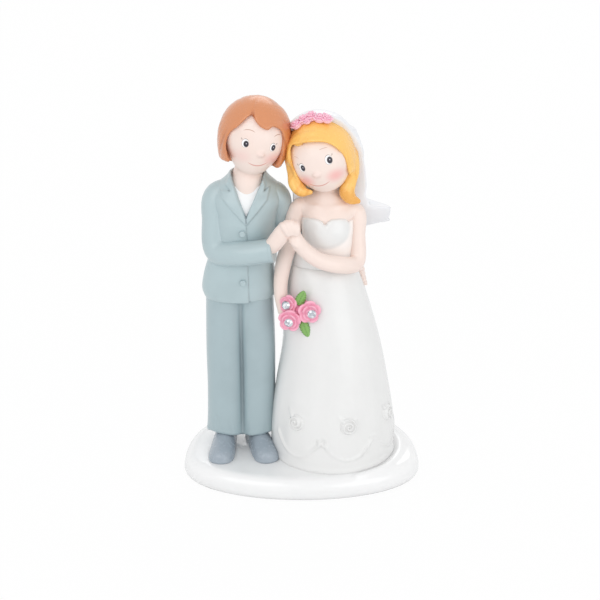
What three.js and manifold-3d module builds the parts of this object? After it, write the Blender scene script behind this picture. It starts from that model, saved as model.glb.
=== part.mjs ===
// A wedding couple figurine for the top of a cake: two figures hand in hand on an oval base,
// one in a trouser suit and one in a strapless gown with a veil and a bouquet.
// It is an assembly of painted castings that are glued together, with a thin glue line between
// neighbours and round spigots that sit in sockets. Millimetres, +Z up, the front faces -Y,
// and the origin is the middle of the underside of the base.
import * as THREE from "three";
import { mergeVertices } from "three/addons/utils/BufferGeometryUtils.js";
import Module from "manifold-3d";

const wasm = await Module();
wasm.setup();

// Joints between castings
const GLUE_LINE = 0.3;
const SPIGOT_RADIUS = 1.8;
const SPIGOT_LENGTH = 3.5;

// Base
const BASE_WIDTH = 76;
const BASE_FRONT_DEPTH = 18.8;
const BASE_BACK_DEPTH = 36.2;
const BASE_THICKNESS = 8;
const BASE_EDGE_RADIUS = 3.6;
const BASE_BACK_POWER = 2.3;

// Figure in the suit: legs and feet
const SUIT_X = -19.3;
const SUIT_Y = -0.4;
const STANCE = 11.2;
const SHOE_LENGTH = 18.6;
const SHOE_WIDTH = 8.4;
const SHOE_HEIGHT = 6.4;
const SHOE_TURN_OUT = 15;
const HEM_HEIGHT = 5.4;
const TROUSER_LENGTH = 47.2;
const TROUSER_LEG_WIDTH = 11.8;
const TROUSER_LEG_DEPTH = 12.6;
const WAIST_SPIGOT = 3;

// Jacket
const SUIT_LEAN = 2.9;
const JACKET_LENGTH = 38.8;
const JACKET_HEM_WIDTH = 23.2;
const JACKET_WAIST_WIDTH = 19.6;
const JACKET_CHEST_WIDTH = 19.6;
const JACKET_DEPTH = 15.8;
const LAPEL_WIDTH = 3.4;
const LAPEL_TAIL = 2.2;
const LAPEL_RELIEF = 0.7;
const NECKLINE_WIDTH = 9;
const NECKLINE_DROP = 11.4;
const SHIRT_SETBACK = 1.1;
const BUTTON_RADIUS = 1.0;
const BUTTON_RELIEF = 0.7;

// Sleeves and hands of the suited figure. Drops are measured down from the top of the jacket.
const SLEEVE_RADIUS = 4.2;
const CUFF_RADIUS = 3.6;
const ELBOW_DROP = 23.2;
const CUFF_DROP = 19.7;
const CUFF_REACH = 7.1;
const CLASP_DROP = 12.2;
const CLASP_REACH = 13.6;
const CLASP_FORWARD = 5.2;
const HAND_RADIUS = 2.5;

// Head of the suited figure
const SUIT_NECK_RADIUS = 3.9;
const SUIT_NECK_LENGTH = 6.6;
const SUIT_HEAD_RADIUS = 10;
const SUIT_HEAD_ROLL = 11;
const SUIT_HEAD_YAW = 13;
const BOB_THICKNESS = 1.1;

// Gown
const BRIDE_X = 10.5;
const BRIDE_Y = -2.6;
const BRIDE_LEAN = 2.5;
const SKIRT_HEIGHT = 63;
const SKIRT_HEM_RADIUS = 19.5;
const SKIRT_HIP_WIDTH = 22.8;
const WAIST_WIDTH = 15.6;
const WAIST_DEPTH = 12.2;
const BODICE_HEIGHT = 15.6;
const BODICE_WALL = 0.7;
const BUST_WIDTH = 14.8;
const BUST_DEPTH = 14.4;

// Body and head of the bride
const SHOULDER_WIDTH = 18.4;
const SHOULDER_HEIGHT = 18.4;
const ARM_RADIUS = 2.3;
const WRIST_RADIUS = 2.1;
const BRIDE_NECK_RADIUS = 3.3;
const BRIDE_NECK_LENGTH = 6.6;
const BRIDE_HEAD_RADIUS = 9.9;
const BRIDE_HEAD_ROLL = -18;
const BRIDE_HEAD_YAW = -9;
const BRIDE_HAIR_THICKNESS = 1.3;
const MEETING_WALL = 0.5;

// Veil and band of blossoms
const VEIL_THICKNESS = 1.5;
const VEIL_DROP = 38.6;
const VEIL_HEM_WIDTH = 31;
const BAND_FLOWERS = 5;
const BAND_FLOWER_RADIUS = 2.3;
const BAND_HALF_ANGLE = 29;

// Bouquet
const BOUQUET_DROP = 12.2;
const BOUQUET_SIDE = 9.7;
const ROSE_RADIUS = 3.3;
const ROSE_HEIGHT = 3.2;
const LEAF_LENGTH = 5.2;
const LEAF_WIDTH = 3.4;
const LEAF_THICKNESS = 1.1;
const STONE_DIAMETER = 2.7;
const STONE_HEIGHT = 1.1;

// Raised roses round the skirt
const SKIRT_ROSES = 6;
const SKIRT_ROSE_RADIUS = 2.8;
const SKIRT_ROSE_RELIEF = 1.2;
const SKIRT_ROSE_HEIGHT = 15.6;
const SKIRT_ROSE_START = -37;
const SKIRT_ROSE_SPACING = 51.5;

// Colours of the paint
const PAINT = {
  whiteGloss: { color: 0xf3f3f2, roughness: 0.35 },
  gown: { color: 0xf4f4f3, roughness: 0.38 },
  veil: { color: 0xefeceb, roughness: 0.45 },
  skin: { color: 0xf7dfd0, roughness: 0.5 },
  suit: { color: 0xa3b6bb, roughness: 0.45 },
  shoe: { color: 0x8d99a4, roughness: 0.42 },
  bob: { color: 0xd08f5f, roughness: 0.4 },
  blonde: { color: 0xf6b64e, roughness: 0.4 },
  rose: { color: 0xf08aaa, roughness: 0.5 },
  paleRose: { color: 0xf0a5bd, roughness: 0.55 },
  leaf: { color: 0x6fa93f, roughness: 0.45 },
  stone: { color: 0xffffff, roughness: 0.02, metalness: 0.1 },
};

const radians = THREE.MathUtils.degToRad;
const vec = (x, y, z) => new THREE.Vector3(x, y, z);
const group = new THREE.Group();

// A merged, closed geometry as a solid that can be cut and joined.
function toSolid(geometry) {
  const bare = geometry.index ? geometry.toNonIndexed() : geometry.clone();
  bare.deleteAttribute("normal");
  bare.deleteAttribute("uv");
  const merged = mergeVertices(bare, 1e-4);
  const mesh = new wasm.Mesh({
    numProp: 3,
    vertProperties: new Float32Array(merged.attributes.position.array),
    triVerts: new Uint32Array(merged.index.array),
  });
  return new wasm.Manifold(mesh);
}

function fromSolid(solid) {
  const mesh = solid.getMesh();
  const geometry = new THREE.BufferGeometry();
  geometry.setAttribute("position", new THREE.BufferAttribute(mesh.vertProperties, 3));
  geometry.setIndex(new THREE.BufferAttribute(mesh.triVerts, 1));
  geometry.computeVertexNormals();
  return geometry;
}

// The largest piece of a solid, without the slivers that a cut can leave.
function largest(solid) {
  const pieces = solid.decompose();
  return pieces.reduce((a, b) => (b.volume() > a.volume() ? b : a));
}

// Adds one named piece to the assembly, cut clear of the pieces that it is glued to.
function addPiece(name, paint, solid, neighbours = []) {
  let cut = solid;
  for (const neighbour of neighbours) cut = cut.subtract(neighbour);
  const material = new THREE.MeshStandardMaterial({ metalness: 0, ...PAINT[paint] });
  const mesh = new THREE.Mesh(fromSolid(largest(cut)), material);
  mesh.name = name;
  group.add(mesh);
}

// A closed skin over rings of points that run the same way round. Each end has a fan round its
// middle, or strips straight across when the ring is a thin crescent.
function skin(rings, crescent = false) {
  const sides = rings[0].length;
  const points = rings.flat();
  const faces = [];
  for (let i = 0; i + 1 < rings.length; i++) {
    for (let j = 0; j < sides; j++) {
      const a = i * sides + j;
      const b = i * sides + ((j + 1) % sides);
      faces.push(a, b, b + sides, a, b + sides, a + sides);
    }
  }
  const last = (rings.length - 1) * sides;
  for (let j = 0; crescent && j + 1 < sides / 2; j++) {
    const across = sides - 1 - j;
    faces.push(j, across, j + 1, j + 1, across, across - 1);
    faces.push(last + j, last + j + 1, last + across);
    faces.push(last + j + 1, last + across - 1, last + across);
  }
  const middle = (ring) => ring.reduce((sum, p) => sum.add(p), vec(0, 0, 0)).divideScalar(sides);
  const bottom = points.length;
  if (!crescent) points.push(middle(rings[0]), middle(rings[rings.length - 1]));
  for (let j = 0; !crescent && j < sides; j++) {
    const next = (j + 1) % sides;
    faces.push(bottom, next, j);
    faces.push(bottom + 1, last + j, last + next);
  }
  const geometry = new THREE.BufferGeometry().setFromPoints(points);
  geometry.setIndex(faces);
  return toSolid(geometry);
}

// A level ring, anticlockwise from above. Power 2 is an ellipse and more is squarer.
function levelRing({ x, y, z, w, d, power }, sides, grow) {
  const ring = [];
  for (let j = 0; j < sides; j++) {
    const angle = (2 * Math.PI * j) / sides;
    const c = Math.cos(angle);
    const s = Math.sin(angle);
    const reach = (Math.abs(c) ** power + Math.abs(s) ** power) ** (-1 / power);
    ring.push(vec(x + (w + grow) * c * reach, y + (d + grow) * s * reach, z));
  }
  return ring;
}

// Sections of a body, blended by a smooth curve through each of their values. w and d are half
// the width and half the depth.
const SECTION_KEYS = ["x", "y", "z", "w", "d", "power"];
function blendSections(sections, steps) {
  const full = sections.map((section) => ({ power: 2, ...section }));
  const curves = SECTION_KEYS.map(
    (key) => new THREE.SplineCurve(full.map((section, i) => new THREE.Vector2(i, section[key]))),
  );
  const blended = [];
  for (let i = 0; i <= steps; i++) {
    const section = {};
    SECTION_KEYS.forEach((key, k) => (section[key] = curves[k].getPoint(i / steps).y));
    blended.push(section);
  }
  return blended;
}

// A body of level sections from the lowest to the highest. grow makes it larger all round.
function body(sections, { sides = 22, steps = 10, grow = 0 } = {}) {
  const blended = blendSections(sections, steps);
  blended[0].z -= grow;
  blended[steps].z += grow;
  return skin(blended.map((section) => levelRing(section, sides, grow)));
}

// The blended section of a body at a height, and the place of its front at x and a height.
function sectionAt(sections, z) {
  const blended = blendSections(sections, 60);
  const above = Math.max(1, blended.findIndex((section) => section.z >= z));
  const [low, high] = [blended[above - 1], blended[above]];
  const share = (z - low.z) / (high.z - low.z);
  const section = {};
  for (const key of SECTION_KEYS) section[key] = THREE.MathUtils.lerp(low[key], high[key], share);
  return section;
}
function frontAt(sections, x, z) {
  const { x: middle, y, w, d, power } = sectionAt(sections, z);
  const share = Math.min(1, Math.abs(x - middle) / w);
  return y - d * (1 - share ** power) ** (1 / power);
}

// A round limb along points, with a radius at each and rounded ends.
function limb(points, radii, { sides = 12, steps = 10, grow = 0 } = {}) {
  const path = new THREE.CatmullRomCurve3(points);
  const width = new THREE.SplineCurve(radii.map((r, i) => new THREE.Vector2(i, r)));
  const frames = path.computeFrenetFrames(steps, false);
  const rings = [];
  const addRing = (centre, radius, i) => {
    const ring = [];
    for (let j = 0; j < sides; j++) {
      const angle = (2 * Math.PI * j) / sides;
      const across = frames.normals[i].clone().multiplyScalar(radius * Math.cos(angle));
      across.addScaledVector(frames.binormals[i], radius * Math.sin(angle));
      ring.push(across.add(centre));
    }
    rings.push(ring);
  };
  const roundEnd = (i, sign, turns) => {
    const radius = width.getPoint(i / steps).y + grow;
    for (const turn of turns) {
      const along = frames.tangents[i].clone().multiplyScalar(sign * radius * Math.sin(turn));
      addRing(path.getPointAt(i / steps).add(along), radius * Math.cos(turn), i);
    }
  };
  roundEnd(0, -1, [1.2, 0.65]);
  for (let i = 0; i <= steps; i++) {
    const share = path.getUtoTmapping(i / steps);
    addRing(path.getPointAt(i / steps), width.getPoint(share).y + grow, i);
  }
  roundEnd(steps, 1, [0.65, 1.2]);
  return skin(rings);
}

// An ellipsoid about a place.
function ellipsoid(place, w, d, h, grow = 0) {
  const geometry = new THREE.SphereGeometry(1, 16, 10).rotateX(Math.PI / 2);
  geometry.scale(w + grow, d + grow, h + grow);
  return toSolid(geometry.translate(place.x, place.y, place.z));
}

// A round peg from one point to another.
function peg(from, to, radius) {
  const along = to.clone().sub(from);
  const turn = new THREE.Quaternion().setFromUnitVectors(vec(0, 1, 0), along.clone().normalize());
  const geometry = new THREE.CylinderGeometry(radius, radius, along.length(), 16);
  const middle = from.clone().add(to).multiplyScalar(0.5);
  return toSolid(geometry.applyQuaternion(turn).translate(middle.x, middle.y, middle.z));
}

// An upright spigot that goes down into its neighbour at a place, and the socket for it.
function spigot(place, radius = SPIGOT_RADIUS) {
  const low = place.clone().add(vec(0, 0, -SPIGOT_LENGTH));
  return peg(low, place.clone().add(vec(0, 0, SPIGOT_LENGTH / 2)), radius);
}
function socket(place, radius = SPIGOT_RADIUS) {
  const low = place.clone().add(vec(0, 0, -SPIGOT_LENGTH - GLUE_LINE));
  return peg(low, place.clone().add(vec(0, 0, SPIGOT_LENGTH / 2)), radius + GLUE_LINE);
}

// A closed outline in X and Z, cut straight through from the front to the back.
function frontCutter(outline, front, back) {
  const shape = new THREE.Shape(outline.map(([x, z]) => new THREE.Vector2(x, z)));
  const options = { depth: back - front, bevelEnabled: false };
  const geometry = new THREE.ExtrudeGeometry(shape, options);
  return toSolid(geometry.rotateX(Math.PI / 2).translate(0, back, 0));
}

// A box between two corners.
function block(low, high) {
  const size = high.clone().sub(low);
  const middle = high.clone().add(low).multiplyScalar(0.5);
  const geometry = new THREE.BoxGeometry(size.x, size.y, size.z);
  return toSolid(geometry.translate(middle.x, middle.y, middle.z));
}

// A solid moved by a three.js matrix.
const placed = (solid, matrix) => solid.transform(matrix.elements);

// The matrix that points local +Z along a direction at a place.
function facing(place, direction) {
  const turn = new THREE.Quaternion();
  turn.setFromUnitVectors(vec(0, 0, 1), direction.clone().normalize());
  return new THREE.Matrix4().compose(place, turn, vec(1, 1, 1));
}

// The frame of a head: roll is a lean to the side and yaw a turn to the side, in degrees.
function headFrame(centre, roll, yaw) {
  const lean = new THREE.Matrix4().makeRotationY(radians(roll));
  const turn = new THREE.Matrix4().makeRotationZ(radians(yaw));
  const place = new THREE.Matrix4().makeTranslation(centre.x, centre.y, centre.z);
  return place.multiply(lean).multiply(turn);
}

// Base: flat below, with a rounded edge and a flatter curve along its front.
const floor = BASE_THICKNESS;
const baseWidest = (BASE_FRONT_DEPTH - BASE_BACK_DEPTH) / 2;
function baseRing(z, inset) {
  const sides = 48;
  const ring = [];
  for (let j = 0; j < sides; j++) {
    const angle = (2 * Math.PI * j) / sides;
    const c = Math.cos(angle);
    const s = Math.sin(angle);
    const power = s < 0 ? 2 : BASE_BACK_POWER;
    const depth = (s < 0 ? BASE_FRONT_DEPTH : BASE_BACK_DEPTH) - inset;
    const x = (BASE_WIDTH / 2 - inset) * Math.sign(c) * Math.abs(c) ** (2 / power);
    const y = baseWidest + depth * Math.sign(s) * Math.abs(s) ** (2 / power);
    ring.push(vec(x, y, z));
  }
  return ring;
}
function baseSolid() {
  const arc = 3;
  const rings = [];
  for (let i = 0; i <= 2 * arc + 1; i++) {
    const upper = i > arc;
    const angle = (Math.PI / 2) * ((upper ? 2 * arc + 1 - i : i) / arc);
    const inset = BASE_EDGE_RADIUS * (1 - Math.sin(angle));
    const rise = BASE_EDGE_RADIUS * (1 - Math.cos(angle));
    rings.push(baseRing(upper ? floor - rise : rise, inset));
  }
  return skin(rings);
}

// Shoes: rounded toe, flat sole on the base, turned about the ankle. Shares of the shoe's length,
// half width and height, from the heel to the toe.
const SHOE_SHAPE = [
  { along: -0.28, wide: 0.3, high: 0.55 },
  { along: -0.25, wide: 0.62, high: 0.85 },
  { along: -0.1, wide: 0.8, high: 1 },
  { along: 0.12, wide: 0.78, high: 1 },
  { along: 0.36, wide: 0.9, high: 0.84 },
  { along: 0.58, wide: 1, high: 0.68 },
  { along: 0.74, wide: 0.88, high: 0.56 },
  { along: 0.83, wide: 0.62, high: 0.42 },
  { along: 0.87, wide: 0.32, high: 0.26 },
];
const FEET = {
  right: { ankle: vec(SUIT_X - STANCE / 2, SUIT_Y, floor), turn: -SHOE_TURN_OUT / 4 },
  left: { ankle: vec(SUIT_X + STANCE / 2, SUIT_Y, floor), turn: SHOE_TURN_OUT },
};
function shoe(side, grow = 0) {
  const sides = 16;
  const rings = SHOE_SHAPE.map(({ along, wide, high }, i) => {
    const end = i === 0 ? -grow : i === SHOE_SHAPE.length - 1 ? grow : 0;
    const ring = [];
    for (let j = 0; j < sides; j++) {
      const angle = (2 * Math.PI * j) / sides;
      const c = Math.cos(angle);
      const s = Math.sin(angle);
      const reach = (Math.abs(c) ** 2.5 + Math.abs(s) ** 2.5) ** -0.4;
      const up = s < 0 ? 0 : (SHOE_HEIGHT * high + grow) * s * reach;
      const x = (SHOE_WIDTH / 2) * wide * c * reach + grow * c;
      ring.push(vec(x, along * SHOE_LENGTH + end, up));
    }
    return ring;
  });
  const { ankle, turn } = FEET[side];
  const turned = new THREE.Matrix4().makeTranslation(ankle.x, ankle.y, ankle.z);
  turned.multiply(new THREE.Matrix4().makeRotationZ(Math.PI + radians(turn)));
  return placed(skin(rings.reverse()), turned);
}

// Trousers: two straight legs that join at the top, and a shallow spigot inside the jacket.
const hemLevel = floor + HEM_HEIGHT;
const jacketHem = hemLevel + TROUSER_LENGTH;
function trouserLeg(side, grow) {
  const { x } = FEET[side].ankle;
  const inward = Math.sign(SUIT_X - x) * 0.08 * STANCE;
  const w = TROUSER_LEG_WIDTH / 2;
  const d = TROUSER_LEG_DEPTH / 2;
  const at = (share) => hemLevel + share * TROUSER_LENGTH;
  const sections = [
    { x, z: at(0), w: w * 1.03, d: d * 1.04 },
    { x, z: at(0.3), w: w * 0.98, d: d * 0.95 },
    { x, z: at(0.6), w: w * 0.99, d: d * 0.98 },
    { x: x + inward, z: at(1), w: w * 1.02, d: d * 1.1 },
  ];
  const full = sections.map((section) => ({ y: SUIT_Y, power: 2.3, ...section }));
  return body(full, { sides: 20, steps: 6, grow });
}
function waistSpigot(grow) {
  const w = 0.39 * JACKET_HEM_WIDTH;
  const d = 0.37 * JACKET_DEPTH;
  const ring = { x: SUIT_X, y: SUIT_Y, w, d, power: 2.4 };
  const low = { ...ring, z: jacketHem - GLUE_LINE };
  return body([low, { ...ring, z: jacketHem + WAIST_SPIGOT }], { steps: 1, grow });
}
const trousers = (grow = 0) =>
  trouserLeg("right", grow).add(trouserLeg("left", grow)).add(waistSpigot(grow));

// Jacket: flared over the hips, with an open neckline, a raised collar and lapels.
const jacketTop = jacketHem + JACKET_LENGTH;
const chestX = SUIT_X + SUIT_LEAN;
const chestFront = SUIT_Y - JACKET_DEPTH / 2;
const chestHalf = JACKET_CHEST_WIDTH / 2;
const jacketSections = (() => {
  const hem = JACKET_HEM_WIDTH / 2;
  const waist = JACKET_WAIST_WIDTH / 2;
  const d = JACKET_DEPTH / 2;
  const neck = SUIT_NECK_RADIUS;
  const rows = [
    { up: 0, lean: 0, w: hem * 0.92, d: d * 1.01, power: 2.3 },
    { up: 0.06, lean: 0, w: hem, d: d * 1.06, power: 2.3 },
    { up: 0.18, lean: 0, w: hem * 0.96, d: d * 1.04, power: 2.3 },
    { up: 0.36, lean: 0.2, w: waist, d: d * 0.96, power: 2.3 },
    { up: 0.54, lean: 0.5, w: waist * 0.97, d: d * 0.975, power: 2.2 },
    { up: 0.7, lean: 0.75, w: chestHalf, d, power: 2.2 },
    { up: 0.84, lean: 0.9, back: 0.06, w: chestHalf * 1.1, d: d * 0.91, power: 2.2 },
    { up: 0.93, lean: 1, back: 0.1, w: chestHalf * 0.94, d: d * 0.72 },
    { up: 1, lean: 1, back: 0.13, w: neck * 1.41, d: neck * 1.31 },
  ];
  return rows.map(({ up, lean, back = 0, power = 2, ...row }) => ({
    x: SUIT_X + SUIT_LEAN * lean,
    y: SUIT_Y + back * d,
    z: jacketHem + up * JACKET_LENGTH,
    power,
    ...row,
  }));
})();
const jacketShell = (grow = 0) => body(jacketSections, { sides: 28, steps: 13, grow });

// The open neck in front, as an outline about the middle of the chest.
const necklineHalf = NECKLINE_WIDTH / 2;
const downNeck = (share) => jacketTop - share * NECKLINE_DROP;
const vPoint = [chestX - 0.09 * necklineHalf, downNeck(1)];
const neckOutline = (inset = 0) => [
  [vPoint[0], vPoint[1] + inset],
  [chestX + necklineHalf - inset, downNeck(0.09)],
  [chestX + necklineHalf - inset, downNeck(-0.35)],
  [chestX - necklineHalf + inset, downNeck(-0.35)],
  [chestX - necklineHalf + inset, downNeck(0.09)],
];
// One lapel with its notch, on the side that sign names.
function lapelOutline(sign) {
  const across = (share) => chestX + sign * (necklineHalf + share * LAPEL_WIDTH);
  return [
    [vPoint[0], vPoint[1] - LAPEL_TAIL],
    [across(0.85), downNeck(0.49)],
    [across(1), downNeck(0.28)],
    [across(0.56), downNeck(0.3)],
    [across(0.7), downNeck(0.1)],
    [across(0), downNeck(-0.09)],
    [across(-0.06), downNeck(0.09)],
    vPoint,
  ];
}
function collar(grow = 0) {
  const neck = SUIT_NECK_RADIUS;
  const ring = { x: chestX, y: SUIT_Y + 0.2 * neck };
  const low = { ...ring, z: jacketTop - 1.13 * neck, w: 1.92 * neck, d: 1.51 * neck };
  const high = { ...ring, z: jacketTop + 0.31 * neck, w: 1.38 * neck, d: 1.38 * neck };
  return body([low, high], { steps: 3, grow });
}
const neckPocket = SUIT_Y - 0.16 * JACKET_DEPTH;
const throughFront = (outline, back) => frontCutter(outline, chestFront - JACKET_DEPTH, back);
function lapels(relief) {
  const raised = jacketShell(relief);
  const cut = (sign) => raised.intersect(throughFront(lapelOutline(sign), SUIT_Y));
  return cut(-1).add(cut(1));
}
function jacketSolid() {
  const opening = throughFront(neckOutline(), neckPocket);
  return jacketShell().add(collar()).add(lapels(LAPEL_RELIEF)).subtract(opening);
}
// Shirt: fills the neckline a little way behind the edge of the jacket.
function shirtSolid() {
  const wedge = throughFront(neckOutline(GLUE_LINE), neckPocket - GLUE_LINE);
  const reach = vec(JACKET_HEM_WIDTH, JACKET_DEPTH, 0);
  const low = vec(chestX, SUIT_Y, jacketHem).sub(reach);
  const high = vec(chestX, SUIT_Y, downNeck(0.14)).add(reach);
  return jacketShell(-SHIRT_SETBACK).intersect(wedge).intersect(block(low, high));
}

// Buttons on the front of the jacket: one below the lapels and one below the forearm.
const buttonHeights = {
  upper: vPoint[1] - LAPEL_TAIL - 2.4 * BUTTON_RADIUS,
  lower: jacketHem + 0.18 * JACKET_LENGTH,
};
function button(height) {
  const x = chestX - 0.12 * chestHalf;
  const front = frontAt(jacketSections, x, height) - GLUE_LINE - BUTTON_RELIEF;
  return peg(vec(x, front, height), vec(x, front + 4 * BUTTON_RELIEF, height), BUTTON_RADIUS);
}

// Sleeves of the jacket: one lies across the front, the other goes behind the partner.
const shoulderLevel = jacketTop - 1.48 * SLEEVE_RADIUS;
const cuff = vec(chestX + CUFF_REACH, chestFront - 0.64 * SLEEVE_RADIUS, jacketTop - CUFF_DROP);
function sleeveRight(grow = 0) {
  const r = SLEEVE_RADIUS;
  const elbow = jacketTop - ELBOW_DROP;
  const path = [
    vec(chestX - 0.91 * chestHalf, SUIT_Y + 0.24 * r, shoulderLevel),
    vec(chestX - 0.97 * chestHalf, SUIT_Y - 0.1 * r, shoulderLevel - 1.9 * r),
    vec(chestX - 0.89 * chestHalf, SUIT_Y - 0.76 * r, elbow),
    vec(chestX - 0.27 * chestHalf, chestFront - 0.1 * r, elbow + 0.36 * r),
    cuff,
  ];
  return limb(path, [r, r, 0.98 * r, 0.92 * r, CUFF_RADIUS], { sides: 14, steps: 12, grow });
}

// The gown's waist, where the partner's other hand rests.
const waistLevel = floor + SKIRT_HEIGHT;
const waistX = BRIDE_X - BRIDE_LEAN;
const waistY = BRIDE_Y + 0.8 * BRIDE_LEAN;
const nearWaist = (across, back, up) =>
  vec(waistX + across * WAIST_WIDTH, waistY + back * WAIST_DEPTH, waistLevel + up * WAIST_WIDTH);
const innerCuff = nearWaist(0.31, 0.87, -0.18);
function sleeveLeft(grow = 0) {
  const r = SLEEVE_RADIUS;
  const path = [
    vec(chestX + 0.87 * chestHalf, SUIT_Y + 0.24 * r, shoulderLevel),
    vec(chestX + 0.96 * chestHalf, SUIT_Y + 0.71 * r, shoulderLevel - 1.67 * r),
    vec(chestX + 1.45 * chestHalf, SUIT_Y + 2.29 * r, shoulderLevel - 3.57 * r),
    nearWaist(-0.17, 0.98, 0.03),
    innerCuff,
  ];
  const radii = [r, 0.96 * r, 0.86 * r, 0.8 * r, 0.86 * CUFF_RADIUS];
  return limb(path, radii, { sides: 14, steps: 12, grow });
}

// Hands of the suited figure: one in the clasp and one round the bride's waist.
const clasp = vec(chestX + CLASP_REACH, chestFront - CLASP_FORWARD, jacketTop - CLASP_DROP);
const nearHand = (place, x, y, z) => vec(x, y, z).multiplyScalar(HAND_RADIUS).add(place);
function suitHandRight(grow = 0) {
  const r = HAND_RADIUS;
  const path = [
    nearHand(cuff, -0.24, 0.16, 0.08),
    nearHand(cuff.clone().lerp(clasp, 0.5), -0.1, -0.14, -0.06),
    nearHand(clasp, -0.24, -0.24, 0.48),
    nearHand(clasp, 1.16, -0.56, 0),
  ];
  return limb(path, [1.1 * r, 1.3 * r, 1.12 * r, 0.7 * r], { grow });
}
function suitHandLeft(grow = 0) {
  const r = HAND_RADIUS;
  const path = [innerCuff, nearWaist(0.58, 0.64, -0.25), nearWaist(0.72, 0.12, -0.37)];
  return limb(path, [0.84 * r, 0.9 * r, 0.56 * r], { steps: 8, grow });
}

// Head and neck of the suited figure, as one casting with a spigot in the jacket.
const neckSeat = SUIT_NECK_RADIUS / 6;
const neckBase = vec(chestX, SUIT_Y + neckSeat, jacketTop - 4 * neckSeat);
const neckSpigotPlace = neckBase.clone().add(vec(0, 0, -0.77 * SUIT_NECK_RADIUS));
const suitHeadCentre = vec(
  chestX + 0.25 * SUIT_HEAD_RADIUS,
  SUIT_Y - 0.11 * SUIT_HEAD_RADIUS,
  neckBase.z + SUIT_NECK_LENGTH + 0.93 * SUIT_HEAD_RADIUS,
);
const suitHeadFrame = headFrame(suitHeadCentre, SUIT_HEAD_ROLL, SUIT_HEAD_YAW);
function suitNeck(grow = 0) {
  const r = SUIT_NECK_RADIUS;
  const throat = vec(chestX + 0.26 * r, SUIT_Y, neckBase.z + SUIT_NECK_LENGTH);
  return limb([neckBase, throat, suitHeadCentre], [r, 0.95 * r, r], { sides: 18, steps: 6, grow });
}

// A head or a cap of hair in its own frame. Each row has shares of the radius: how far back and
// how far up it is, its half width and half depth, then the power of its ring.
function headShape(rows, radius, frame, grow) {
  const r = radius;
  const sections = rows.map(([back, up, w, d, power = 2]) => {
    return { x: 0, y: back * r, z: up * r, w: w * r, d: d * r, power };
  });
  return placed(body(sections, { grow }), frame);
}
// A doll's round head, with full cheeks and a small chin.
const DOLL_HEAD = [
  [-0.1, -0.97, 0.12, 0.14],
  [-0.1, -0.9, 0.4, 0.46],
  [-0.06, -0.68, 0.68, 0.74],
  [-0.02, -0.36, 0.91, 0.93],
  [0, 0, 1, 1],
  [0, 0.4, 0.92, 0.93],
  [0, 0.72, 0.69, 0.71],
  [0, 0.93, 0.37, 0.38],
  [0, 1, 0.1, 0.1],
];
const suitFace = (grow = 0) => headShape(DOLL_HEAD, SUIT_HEAD_RADIUS, suitHeadFrame, grow);

// The opening for a face, in shares of a head's radius, cut straight back in the head's frame.
function faceWindow(outline, r, frame) {
  const sized = outline.map(([x, z]) => [x * r, z * r]);
  return placed(frontCutter(sized, -2 * r, -0.13 * r), frame);
}
// Bobbed hair, parted above the face: a thick cap with the face cut open.
const BOB = [
  [0.05, -0.71, 0.78, 0.78, 2.2],
  [0.05, -0.62, 0.91, 0.88, 2.2],
  [0.04, -0.4, 0.99, 0.97, 2.1],
  [0.03, 0, 1, 1],
  [0.03, 0.42, 0.91, 0.92],
  [0.03, 0.74, 0.69, 0.71],
  [0.03, 0.97, 0.38, 0.4],
  [0.03, 1.05, 0.1, 0.1],
];
const BOB_WINDOW = [
  [-0.38, 0.73],
  [-0.2, 0.54],
  [0.02, 0.44],
  [0.17, 0.46],
  [0.26, 0.53],
  [0.51, 0.44],
  [0.6, 0.3],
  [0.66, -0.1],
  [0.68, -0.5],
  [0.62, -0.8],
  [0.6, -1.3],
  [-0.62, -1.3],
  [-0.62, -0.82],
  [-0.78, -0.56],
  [-0.86, -0.25],
  [-0.82, 0.11],
  [-0.6, 0.46],
];
const bobShell = (grow = 0) =>
  headShape(BOB, SUIT_HEAD_RADIUS + BOB_THICKNESS, suitHeadFrame, grow);
function bobSolid() {
  const window = faceWindow(BOB_WINDOW, SUIT_HEAD_RADIUS, suitHeadFrame);
  return bobShell().subtract(window).subtract(suitFace(GLUE_LINE));
}

// Gown skirt: a bell from a rounded hem to the waist.
const skirtSections = (() => {
  const hip = SKIRT_HIP_WIDTH / 2;
  const lean = BRIDE_LEAN;
  const rows = [
    { up: 0, wide: 0.955 },
    { up: 0.03, wide: 0.992 },
    { up: 0.09, wide: 1 },
    { up: 0.22, wide: 0.975 },
    { up: 0.4, wide: 0.895 },
    { up: 0.58, wide: 0.8 },
  ];
  const bell = rows.map(({ up, wide }) => ({
    x: BRIDE_X - 0.68 * up * lean,
    y: BRIDE_Y + 0.64 * up * lean,
    z: floor + up * SKIRT_HEIGHT,
    w: SKIRT_HEM_RADIUS * wide,
    d: SKIRT_HEM_RADIUS * wide * (0.95 - 0.04 * up),
  }));
  const upper = [
    { x: 0.24, y: -0.16, up: 0.78, w: 1.175 * hip, d: 1.09 * hip },
    { x: 0.12, y: 0, up: 0.91, w: hip, d: 0.825 * hip },
    { x: 0, y: 0, up: 1, w: WAIST_WIDTH / 2, d: WAIST_DEPTH / 2 },
  ];
  const fitted = upper.map(({ x, y, up, w, d }) => {
    return { x: waistX + x * lean, y: waistY + y * lean, z: floor + up * SKIRT_HEIGHT, w, d };
  });
  return [...bell, ...fitted];
})();
const skirt = (grow = 0) => body(skirtSections, { sides: 36, steps: 12, grow });

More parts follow.
